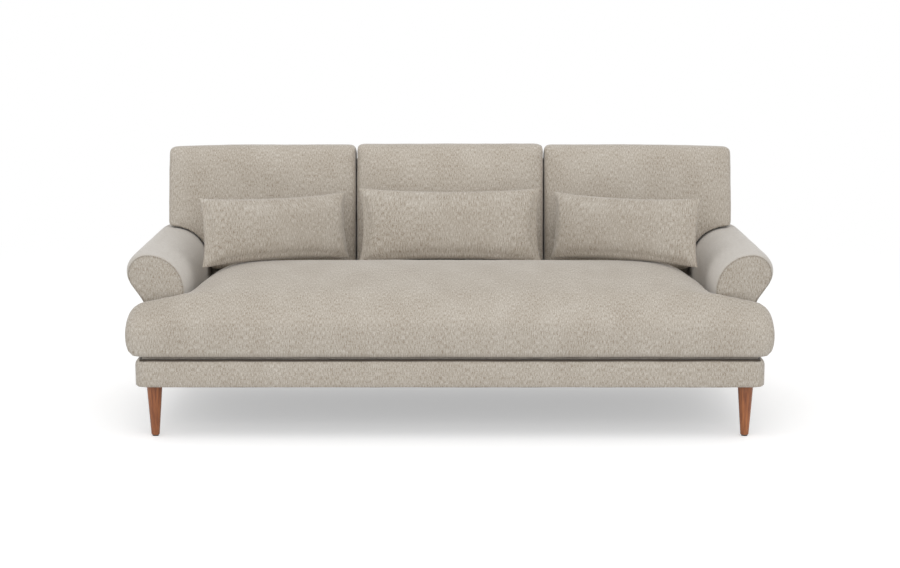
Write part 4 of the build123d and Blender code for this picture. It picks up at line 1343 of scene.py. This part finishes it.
@dataclass
class Arm:
    """A rolled arm: a padded sleeve, a sewn panel at the front and a plain one at the rear."""

    cloth: bpy.types.Material
    sleeve_cloth: bpy.types.Material
    place: Place
    plane: BackPlane = BackPlane()
    wall_x: float = 0.812
    roll_x: float = 0.925
    top: float = 0.551
    crown: float = 0.113
    roll: float = 0.0615
    tuck_angle: float = math.radians(35.0)
    tuck_round: float = 0.070
    panel_x: float = 0.936
    foot: float = 0.2463
    front: float = -0.365
    facing: float = 0.006
    dome: float = 0.005
    dome_ramp: float = 0.020
    dome_from: tuple[float, float] = (0.405, 0.030)
    far: float = 0.6
    rear_start: float = 0.2
    sleeve_inset: float = 0.002
    panel_inset: float = 0.0025
    rear_inset: float = 0.0006
    panel_voxel: float = 0.002
    panel_ease: int = 3
    rim_step: float = 0.003
    seam_width: float = 0.0018
    seam_depth: float = 0.002
    # How dark the painted shade in the front panel's seam groove is.
    painted_shade: float = 0.8
    stitch_inset: float = 0.0055
    stitch_step: float = 0.0075
    stitch_foot: float = 0.41
    stitch_out: float = 0.0004
    stitch_size: tuple[float, float, float] = (0.0027, 0.0006, 0.0006)
    swell: float = 0.014
    swell_lean: tuple[float, float] = (0.95, 0.31)
    swell_from: float = 0.3
    swell_ramp: float = 0.028
    tuck_in: float = 0.015
    tuck_ramp: float = 0.06
    give_from: float = 0.42
    give_ramp: tuple[float, float] = (0.09, 0.06)
    end_facing: float = 0.8
    waves: tuple[float, float] = (0.13, 0.002)
    stuffing: Stuffing = Stuffing(voxel=0.009, cap=0.004, ease=2)

    def build(self) -> list[bpy.types.Object]:
        """Shape and dress the arm's pieces."""
        return [self._sleeve(), self._front_panel(), self._rear_panel(), self._stitching()]

    def outline(self, inset: float = 0.0) -> np.ndarray:
        """The arm's section seen from the front.

        Args:
            inset: how far it is drawn in.

        Returns:
            Rows of x and z, once round without repeating the first.
        """
        crown, roll = self.crown - inset, self.roll - inset
        panel_x, tuck = self.panel_x - inset, self.tuck_round + inset
        roll_z, crown_z = self.top - self.roll, self.top - self.crown
        out = (math.cos(self.tuck_angle), -math.sin(self.tuck_angle))
        end = (self.roll_x + roll * out[0], roll_z + roll * out[1])
        tuck_x = panel_x + tuck
        tuck_z = end[1] - ((tuck_x - end[0]) * out[0] - tuck) / out[1]
        arcs = (
            (self.roll_x, crown_z, crown, np.linspace(math.pi, math.pi / 2, 17)),
            (self.roll_x, roll_z, roll, np.linspace(math.pi / 2, -self.tuck_angle, 25)[1:]),
            (tuck_x, tuck_z, tuck, np.linspace(math.pi - self.tuck_angle, math.pi, 8)),
        )
        rows = [(self.wall_x + inset, self.foot + inset)]
        for x, z, radius, angles in arcs:
            rows += [(x + radius * math.cos(a), z + radius * math.sin(a)) for a in angles]
        rows.append((panel_x, self.foot + inset))
        return np.array(rows) * (self.place.sign, 1)

    def _chart(self, co: np.ndarray, facing: np.ndarray) -> np.ndarray:
        """Lay cloth up the inner wall and round over the roll.

        Args:
            co: the corners' places.
            facing: the normals of their faces.

        Returns:
            The lengths across and along the cloth.
        """
        above = co[:, 2] - (self.top - self.crown)
        aside = np.abs(co[:, 0]) - self.roll_x
        angle = np.arctan2(above.clip(0), aside)
        along = angle * self.crown + above.clip(None, 0) * np.where(aside > 0, 1, -1)
        end = np.abs(facing[:, 1]) > self.end_facing
        across = np.where(end, co[:, 0], co[:, 1])
        along = np.where(end, co[:, 2], along)
        return np.stack((across, along), axis=1)

    def _sleeve(self) -> bpy.types.Object:
        """The padded sleeve round the arm, from the front panel to the rear one.

        Returns:
            The dressed piece.
        """
        name = self.place.value
        start = self.front + self.facing + FIT
        piece = prism(f"arm_sleeve_{name}", self.outline(self.sleeve_inset), start, self.far)
        trim(piece, self.plane.at(self.facing + 2 * FIT), -self.plane.front())
        self.stuffing.even(piece)
        self._fill_roll(piece)
        self.stuffing.swell(piece, self._freedom)
        ripple(piece, *self.waves)
        piece.data.shade_smooth()
        nodes = [f"arm_cover_{name}", "arm_padding"]
        return upholster(piece, self.sleeve_cloth, nodes, fill=0.9, chart=self._chart)

    def _fill_roll(self, piece: bpy.types.Object) -> None:
        """Let the roll stand out behind the front panel's seam, and tuck the foot into the base.

        Args:
            piece: the evened sleeve.
        """
        co = points(piece)
        away = co[:, (0, 2)] - (self.place.sign * self.roll_x, self.top - self.roll)
        away /= np.linalg.norm(away, axis=1, keepdims=True).clip(1e-6)
        lean = away @ (self.swell_lean[0] * self.place.sign, self.swell_lean[1])
        past_seam = (co[:, 1] - self.front - self.facing).clip(0, None)
        behind = 1 - np.exp(-past_seam / self.swell_ramp)
        outward = ((lean - self.swell_from) / (1 - self.swell_from)).clip(0, 1)
        co[:, (0, 2)] += away * (self.swell * behind * outward)[:, None]
        co[:, 2] -= self.tuck_in * (1 - (co[:, 2] - self.foot) / self.tuck_ramp).clip(0, 1)
        set_points(piece, co)

    def _freedom(self, co: np.ndarray, facing: np.ndarray) -> np.ndarray:
        """Let the roll swell a little, while the inner wall and the ends stay.

        Args:
            co: the sleeve's points.
            facing: their normals.

        Returns:
            The share of the swelling that each keeps.
        """
        aside, up = self.give_ramp
        roll = ((co[:, 2] - self.give_from) / up).clip(0, 1)
        outer = ((np.abs(co[:, 0]) - self.roll_x + aside) / aside).clip(0, 1)
        return roll * (1 - np.abs(facing[:, 1])) * outer**2 * (3 - 2 * outer)

    def _front_panel(self) -> bpy.types.Object:
        """The panel sewn into the sleeve's front end, slightly domed over its padding.

        Returns:
            The dressed piece.
        """
        name = self.place.value
        inner = self.outline(self.panel_inset)
        piece = prism(f"arm_front_panel_{name}", inner, self.front, self.front + self.facing)
        modify(piece, "REMESH", mode="VOXEL", voxel_size=self.panel_voxel)
        modify(piece, "SMOOTH", factor=0.5, iterations=self.panel_ease)
        co = points(piece)
        rim = self.outline()
        rim = along_path(np.vstack((rim, rim[:1])), self.rim_step)
        gap = np.full(len(co), np.inf)
        for row in rim:
            gap = np.minimum(gap, np.hypot(co[:, 0] - row[0], co[:, 2] - row[1]))
        foot, ramp = self.dome_from
        high = ((co[:, 2] - foot) / ramp).clip(0, 1)
        ahead = co[:, 1] < self.front + self.facing / 2
        co[:, 1] -= self.dome * (1 - np.exp(-gap / self.dome_ramp)) * high * ahead
        set_points(piece, co)
        # The seam's groove is pressed in and darkened with painted shade.
        seam = at_depth(self.outline(self.stitch_inset), self.front)
        press_seam(piece, seam, self.seam_width, self.seam_depth, self.painted_shade)
        piece.data.shade_smooth()
        return upholster(piece, self.cloth, [f"arm_facing_{name}"], fill=0.7)

    def _rear_panel(self) -> bpy.types.Object:
        """The plain panel over the sleeve's rear end, against the back.

        Returns:
            The dressed piece.
        """
        outline = self.outline(self.rear_inset)
        piece = prism(f"arm_rear_panel_{self.place.value}", outline, self.rear_start, self.far)
        trim(piece, self.plane.at(FIT), -self.plane.front())
        trim(piece, self.plane.at(self.facing + FIT), self.plane.front())
        soften(piece, 0.002, 3)
        smooth_rounds(piece)
        return upholster(piece, self.cloth, ["arm_rear_facings"], fill=0.8)

    def _stitching(self) -> bpy.types.Object:
        """The row of stitches round the front panel.

        Returns:
            The dressed piece.
        """
        places = along_path(self.outline(self.stitch_inset), self.stitch_step)
        bpy.ops.object.select_all(action="DESELECT")
        bpy.ops.mesh.primitive_uv_sphere_add(segments=8, ring_count=5, radius=1.0)
        stitch = adopt("stitch")
        size = Matrix.Diagonal((*self.stitch_size, 1))
        stitches = []
        for (x, z), (next_x, next_z) in zip(places, places[1:]):
            if z < self.stitch_foot:
                continue
            turn = Matrix.Rotation(-math.atan2(next_z - z, next_x - x), 4, "Y")
            copy = stitch.copy()
            copy.data = stitch.data.copy()
            bpy.context.collection.objects.link(copy)
            place = Matrix.Translation((x, self.front - self.stitch_out, z))
            copy.matrix_world = place @ turn @ size
            stitches.append(copy)
        bpy.data.objects.remove(stitch, do_unlink=True)
        piece = join(f"arm_stitching_{self.place.value}", stitches)
        bpy.ops.object.transform_apply(location=True, rotation=True, scale=True)
        piece.data.shade_smooth()
        return upholster(piece, self.cloth)


@dataclass
class Base:
    """The low padded base, its deck and the dust sheet under it."""

    cloth: bpy.types.Material
    deck_cloth: bpy.types.Material
    dust_cloth: bpy.types.Material
    corner: float = 0.034
    top_round: float = 0.016
    lower_round: float = 0.003
    wall: float = 0.029
    sag: float = 0.004
    hem: float = 0.005
    # Painted shade on the base's top front under the seat cushion's lip: the band's depth from the
    # front, its soft edge, how far below the top and along the sofa it reaches, and its strength.
    tape: tuple[float, float] = (0.0065, 0.050)
    lip_shadow_edge: float = 0.003
    lip_shadow_below: tuple[float, float] = (0.008, 0.002)
    lip_shadow_reach: float = 0.940
    lip_shadow_strength: float = 0.95
    notch: tuple[float, float] = (0.867, 0.063)
    sheet_cells: tuple[int, int] = (60, 30)
    outer_skin: float = 0.012
    upright_edge: float = 0.05
    level: float = 1e-5
    waves: tuple[float, float] = (0.12, 0.002)
    stuffing: Stuffing = Stuffing(voxel=0.009, cap=0.003, ease=1)

    def build(self) -> list[bpy.types.Object]:
        """Shape and dress the base's pieces."""
        return [self._wrap(), self._deck(), self._dust_sheet()]

    def _wrap(self) -> bpy.types.Object:
        """The padded cover round the rails.

        Returns:
            The dressed piece.
        """
        low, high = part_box("base_cover_sides")
        low.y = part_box("base_cover_front")[0].y
        low.z -= self.hem
        high.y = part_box("base_cover_rear")[1].y
        piece = block("base_upholstery", low, high)
        top, foot = high.z - self.level, low.z + self.level
        self._round_edges(piece, lambda a, b: abs(a.z - b.z) > self.upright_edge, self.corner, 8)
        self._round_edges(piece, lambda a, b: min(a.z, b.z) > top, self.top_round, 5)
        self._round_edges(piece, lambda a, b: max(a.z, b.z) < foot, self.lower_round, 2)
        hollow = Vector((self.wall, self.wall, -0.1))
        cut(piece, block("hollow", low + hollow, high - hollow))
        self.stuffing.even(piece)
        self.stuffing.swell(piece, self._freedom)
        ripple(piece, *self.waves)
        # Painted shade in the gap under the seat cushion's lip.
        self._paint_lip_shadow(piece)
        piece.data.shade_smooth()
        nodes = ["base_cover_front", "base_cover_rear", "base_cover_sides"]
        return upholster(piece, self.cloth, nodes, fill=0.85)

    def _round_edges(
        self,
        piece: bpy.types.Object,
        test: Callable[[Vector, Vector], bool],
        width: float,
        steps: int,
    ) -> None:
        """Round off some edges.

        Args:
            piece: the base's block.
            test: says of an edge's two ends whether it is rounded.
            width: the width of the rounding.
            steps: how many faces it has.
        """

        def wanted(edge: bpy.types.MeshEdge) -> bool:
            """Whether an edge passes the test."""
            return test(*(piece.data.vertices[i].co for i in edge.vertices))

        with editing(piece, "EDGE", wanted):
            bpy.ops.mesh.bevel(offset=width, segments=steps, affect="EDGES")

    def _freedom(self, co: np.ndarray, facing: np.ndarray) -> np.ndarray:
        """Let only the upright outer faces swell.

        Args:
            co: the cover's points.
            facing: their normals.

        Returns:
            The share of the swelling that each keeps.
        """
        near = np.minimum(co - co.min(0), co.max(0) - co)[:, :2].min(axis=1)
        return (1 - np.abs(facing[:, 2])) * (near < self.outer_skin)

    def _paint_lip_shadow(self, piece: bpy.types.Object) -> None:
        """Note painted shade in a band along the top of the front, in the gap under the cushion's
        lip where its shadow falls.

        Args:
            piece: the filled cover.
        """
        co = points(piece)
        depth = co[:, 1] - co[:, 1].min()
        start, end = self.tape
        band = ((depth - start) / self.lip_shadow_edge).clip(0, 1)
        band *= ((end - depth) / self.lip_shadow_edge).clip(0, 1)
        below, ramp = self.lip_shadow_below
        upper = ((co[:, 2] - co[:, 2].max() + below) / ramp).clip(0, 1)
        note_shade(piece, self.lip_shadow_strength * band * upper * (np.abs(co[:, 0]) < self.lip_shadow_reach))

    def _deck(self) -> bpy.types.Object:
        """The thin pad over the springs, under the seat cushion.

        Returns:
            The dressed piece.
        """
        low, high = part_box("deck_pad")
        piece = block("seat_deck", low, high)
        for side in SIDES:
            near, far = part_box(f"arm_facing_{side.value}")
            notch_low, notch_high = Vector((near.x, near.y - FIT, 0)), Vector((far.x, 1, 1))
            cut(piece, block("notch", notch_low, notch_high))
        soften(piece, 0.002, 3)
        smooth_rounds(piece)
        nodes = ["deck_pad"]
        return finish_piece(piece, FRAME_BODY, Slot.DECK_CLOTH, self.deck_cloth, nodes, fill=0.9)

    def _dust_sheet(self) -> bpy.types.Object:
        """The bonded sheet stapled under the base, sagging slightly between the rails.

        Returns:
            The dressed piece.
        """
        low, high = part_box("dust_cover")
        size = high - low
        bpy.ops.object.select_all(action="DESELECT")
        across, deep = self.sheet_cells
        bpy.ops.mesh.primitive_grid_add(x_subdivisions=across, y_subdivisions=deep, size=1)
        piece = adopt("dust_sheet")
        set_points(piece, points(piece) * (size.x, size.y, 0) + np.array((low + high) / 2))
        self._drop_corners(piece, low, high)
        co = points(piece)
        share = (co[:, :2] - np.array(low)[:2]) / np.array(size)[:2] * 2 - 1
        co[:, 2] = high.z - self.sag * ((1 - share**2).prod(axis=1)).clip(0, 1)
        set_points(piece, co)
        piece.data.shade_smooth()
        finish_piece(piece, FRAME_BODY, Slot.LINING_CLOTH, self.dust_cloth, ["dust_cover"])
        return piece

    def _drop_corners(self, piece: bpy.types.Object, low: Vector, high: Vector) -> None:
        """Delete the sheet's corners, where the leg plates are.

        Args:
            piece: the flat sheet.
            low: its lowest corner.
            high: its highest corner.
        """
        edge_x, depth = self.notch

        def over_plate(face: bpy.types.MeshPolygon) -> bool:
            """Whether a face lies where a leg plate is."""
            x, y = face.center.x, face.center.y
            return abs(x) > edge_x and (y < low.y + depth or y > high.y - depth)

        with editing(piece, "FACE", over_plate):
            bpy.ops.mesh.delete(type="FACE")


@dataclass
class Back:
    """The upholstered back: a lining inside, a panel outside, a band round the edge and straps."""

    cloth: bpy.types.Material
    strap_cloth: bpy.types.Material
    plane: BackPlane = BackPlane()
    strap_heights: tuple[float, ...] = (0.140, 0.240, 0.340, 0.420)
    strap_width: float = 0.050
    band_round: float = 0.004
    panel_cuts: int = 16

    def build(self) -> list[bpy.types.Object]:
        """Shape and dress the back's pieces.

        Returns:
            The dressed pieces.
        """
        return [
            self._panel("inner_back", "back_lining", 0.002, 0.0),
            self._panel("outer_back", "outside_back", 0.0025, -0.003),
            self._band(),
            self._straps(),
        ]

    def _panel(self, name: str, node: str, width: float, crown: float) -> bpy.types.Object:
        """A flat padded panel that stands on the base.

        Args:
            name: the piece's name.
            node: the CAD node it stands for.
            width: how far its edges are rounded.
            crown: how far its middle swells along the plane's normal.

        Returns:
            The dressed panel.
        """
        matrix = self.plane.matrix()
        low, high = local_box(node, matrix)
        piece = block(name, low, high)
        soften(piece, width, 3)
        with editing(piece, "FACE", lambda face: abs(face.normal.z) > 0.99):
            bpy.ops.mesh.subdivide(number_cuts=self.panel_cuts)
        co = points(piece)
        share = ((co - (low + high) / 2) / ((high - low) / 2)).clip(-1, 1)
        outer = (share[:, 2] * math.copysign(1, crown) + 1) / 2
        co[:, 2] += crown * outer * (1 - share[:, 0] ** 4) * (1 - share[:, 1] ** 4)
        set_points(piece, co)
        return self._stand(piece, node, 0.9)

    def _stand(self, piece: bpy.types.Object, node: str, fill: float) -> bpy.types.Object:
        """Lean a piece back, cut its foot level over the base and dress it.

        Args:
            piece: the piece in the back's own axes.
            node: the CAD node it stands for.
            fill: how full it is.

        Returns:
            The dressed piece.
        """
        put(piece, self.plane.matrix())
        trim(piece, Vector((0, 0, self.plane.z + FIT)), Vector((0, 0, -1)))
        smooth_rounds(piece)
        return upholster(piece, self.cloth, [node], fill)

    def _band(self) -> bpy.types.Object:
        """The padded band over the top and down both ends of the back.

        Returns:
            The dressed piece.
        """
        matrix = self.plane.matrix()
        low, high = local_box("back_band", matrix)
        inner_low, inner_high = local_box("outside_back", matrix)
        piece = block("back_edge_band", low, high)
        gap = np.array((FIT, 0, 1))
        cut(piece, block("hollow", inner_low - (FIT, 1, 1), inner_high + gap))
        soften(piece, self.band_round, 4)
        return self._stand(piece, "back_band", 0.85)

    def _straps(self) -> bpy.types.Object:
        """The flat straps across the back's posts.

        Returns:
            The dressed piece.
        """
        matrix = self.plane.matrix()
        low, high = local_box("back_webbing", matrix)
        half = self.strap_width / 2
        straps = []
        for height in self.strap_heights:
            corners = (low[0], height - half, low[2]), (high[0], height + half, high[2])
            strap = block("strap", *corners)
            soften(strap, 0.0006, 2)
            straps.append(strap)
        piece = join("back_straps", straps)
        put(piece, matrix)
        return finish_piece(piece, FRAME_BODY, Slot.WEBBING, self.strap_cloth, ["back_webbing"])


@dataclass
class Studio:
    """The pale floor, the soft light and the camera."""

    lens: float = 82.2
    camera_place: tuple[float, float, float] = (0.0, -6.571, 1.426)
    pitch: float = math.radians(81.15)
    floor_level: float = 0.78
    floor_glow: float = 0.40
    floor_fade: tuple[float, float] = (1.6, 4.5)
    world_level: float = 0.78
    aim: tuple[float, float, float] = (0.0, 0.0, 0.35)

    def build(self) -> None:
        """Set up the view, the lights and the floor."""
        scene = bpy.context.scene
        scene.view_settings.view_transform = "Standard"
        self._camera(scene)
        self._world(scene)
        self._floor()
        self._lamp("key", (-0.3, -1.5, 4.4), (5.0, 3.0), 28.0)
        self._lamp("fill", (0.2, -5.6, 2.4), (6.0, 3.0), 92.0)

    def _camera(self, scene: bpy.types.Scene) -> None:
        """Set the photograph's viewpoint.

        Args:
            scene: the scene that looks through it.
        """
        data = bpy.data.cameras.new("camera")
        data.lens = self.lens
        data.sensor_width = 36.0
        data.sensor_fit = "HORIZONTAL"
        camera = bpy.data.objects.new("camera", data)
        camera.location = self.camera_place
        camera.rotation_euler = (self.pitch, 0, 0)
        scene.collection.objects.link(camera)
        scene.camera = camera

    def _lamp(
        self, name: str, place: Sequence[float], size: Sequence[float], power: float
    ) -> None:
        """Hang a soft rectangular lamp and aim it at the sofa.

        Args:
            name: the lamp's name.
            place: where it hangs.
            size: its width and height.
            power: its power in watts.
        """
        data = bpy.data.lights.new(name, "AREA")
        data.shape = "RECTANGLE"
        data.size, data.size_y = size
        data.energy = power
        lamp = bpy.data.objects.new(name, data)
        lamp.location = place
        aim = Vector(self.aim) - lamp.location
        lamp.rotation_euler = aim.to_track_quat("-Z", "Y").to_euler()
        bpy.context.scene.collection.objects.link(lamp)

    def _world(self, scene: bpy.types.Scene) -> None:
        """Light the sofa evenly from all round, by a world that is seen as plain white.

        Args:
            scene: the scene that it surrounds.
        """
        scene.world = bpy.data.worlds.new("studio")
        net = Net(scene.world)
        lit = {"Color": grey(1.0), "Strength": self.world_level}
        dim = net.node("ShaderNodeBackground", {}, lit)
        white = net.node("ShaderNodeBackground", {}, {"Color": grey(1.0)})
        mix = net.node("ShaderNodeMixShader", {}, {0: net.seen(), 1: dim[0], 2: white[0]})
        net.node("ShaderNodeOutputWorld", {}, {"Surface": mix[0]})

    def _floor(self) -> None:
        """A wide pale floor that fades to white away from the sofa."""
        bpy.ops.object.select_all(action="DESELECT")
        bpy.ops.mesh.primitive_plane_add(size=60)
        floor = adopt("floor")
        net = Net(bpy.data.materials.new("floor"))
        seen = net.seen()
        diffuse = net.node("ShaderNodeBsdfDiffuse", {}, {"Color": grey(self.floor_level)})
        glow = net.node("ShaderNodeEmission", {}, {"Strength": seen * self.floor_glow})
        both = net.node("ShaderNodeAddShader", {}, {0: diffuse[0], 1: glow[0]})
        white = net.node("ShaderNodeEmission", {}, {"Strength": 1.0})
        away = net.node("ShaderNodeVectorMath", {"operation": "LENGTH"}, {0: net.place()})
        start, end = self.floor_fade
        sockets = {"Value": away["Value"], "From Min": start, "From Max": end}
        settings = {"interpolation_type": "SMOOTHSTEP"}
        fade = net.node("ShaderNodeMapRange", settings, sockets)[0] * seen
        mix = net.node("ShaderNodeMixShader", {}, {0: fade, 1: both[0], 2: white[0]})
        net.node("ShaderNodeOutputMaterial", {}, {"Surface": mix[0]})
        floor.data.materials.append(net.owner)


def dress_nodes(slots: dict[Slot, bpy.types.Material]) -> None:
    """Give every CAD node the finish of its slot.

    Args:
        slots: the finish of each slot.
    """
    for row in frame["record"]["subparts"]:
        node = frame["nodes"][row["node"]]
        finish = slots[Slot(row["material_slot"])]
        for place in node.material_slots:
            place.material = finish
        if not node.material_slots:
            node.data.materials.append(finish)


def main() -> None:
    """Build the sofa's pieces in order and set them in the studio."""
    logging.basicConfig(level=logging.INFO, format="%(name)s %(message)s")
    slots = finishes()
    chenille = slots[Slot.UPHOLSTERY]
    dress_nodes(slots)
    SeatCushion(chenille).build()
    # The back cushions' cloth, drawn 5% lighter: painted light.
    upright = Chenille(name="chenille_painted_light", painted_light=1.05).build()
    for place in Place:
        BackCushion(upright, place).build()
    turn, lean, roll = (math.radians(angle) for angle in (37.5, 7.0, 1.7))
    LumbarPillow(chenille, Place.LEFT, turn, lean, -roll).build()
    LumbarPillow(chenille, Place.MIDDLE, 0.0, BackPlane().rake).build()
    LumbarPillow(chenille, Place.RIGHT, -turn, lean, roll).build()
    # The sleeves' cloth, drawn lighter and greyer: painted sheen and light on the arm rolls; its
    # lower relief is the smoother nap.
    sheen_cloth = Chenille(
        name="chenille_painted_sheen",
        brown=(0.430, 0.392, 0.345, 1.0),
        warm=(0.486, 0.450, 0.404, 1.0),
        ground=(0.520, 0.486, 0.442, 1.0),
        pale=(0.590, 0.560, 0.520, 1.0),
        relief=0.2,
        painted_light=1.08,
    ).build()
    # The arm panels' cloth, drawn 7% darker: painted shade under the rolls.
    panel = Chenille(name="chenille_painted_shade", painted_light=0.93).build()
    for place in SIDES:
        Arm(panel, sheen_cloth, place).build()
    Base(chenille, slots[Slot.DECK_CLOTH], slots[Slot.LINING_CLOTH]).build()
    Back(chenille, slots[Slot.WEBBING]).build()
    Studio().build()


if __name__ == "__main__":
    main()
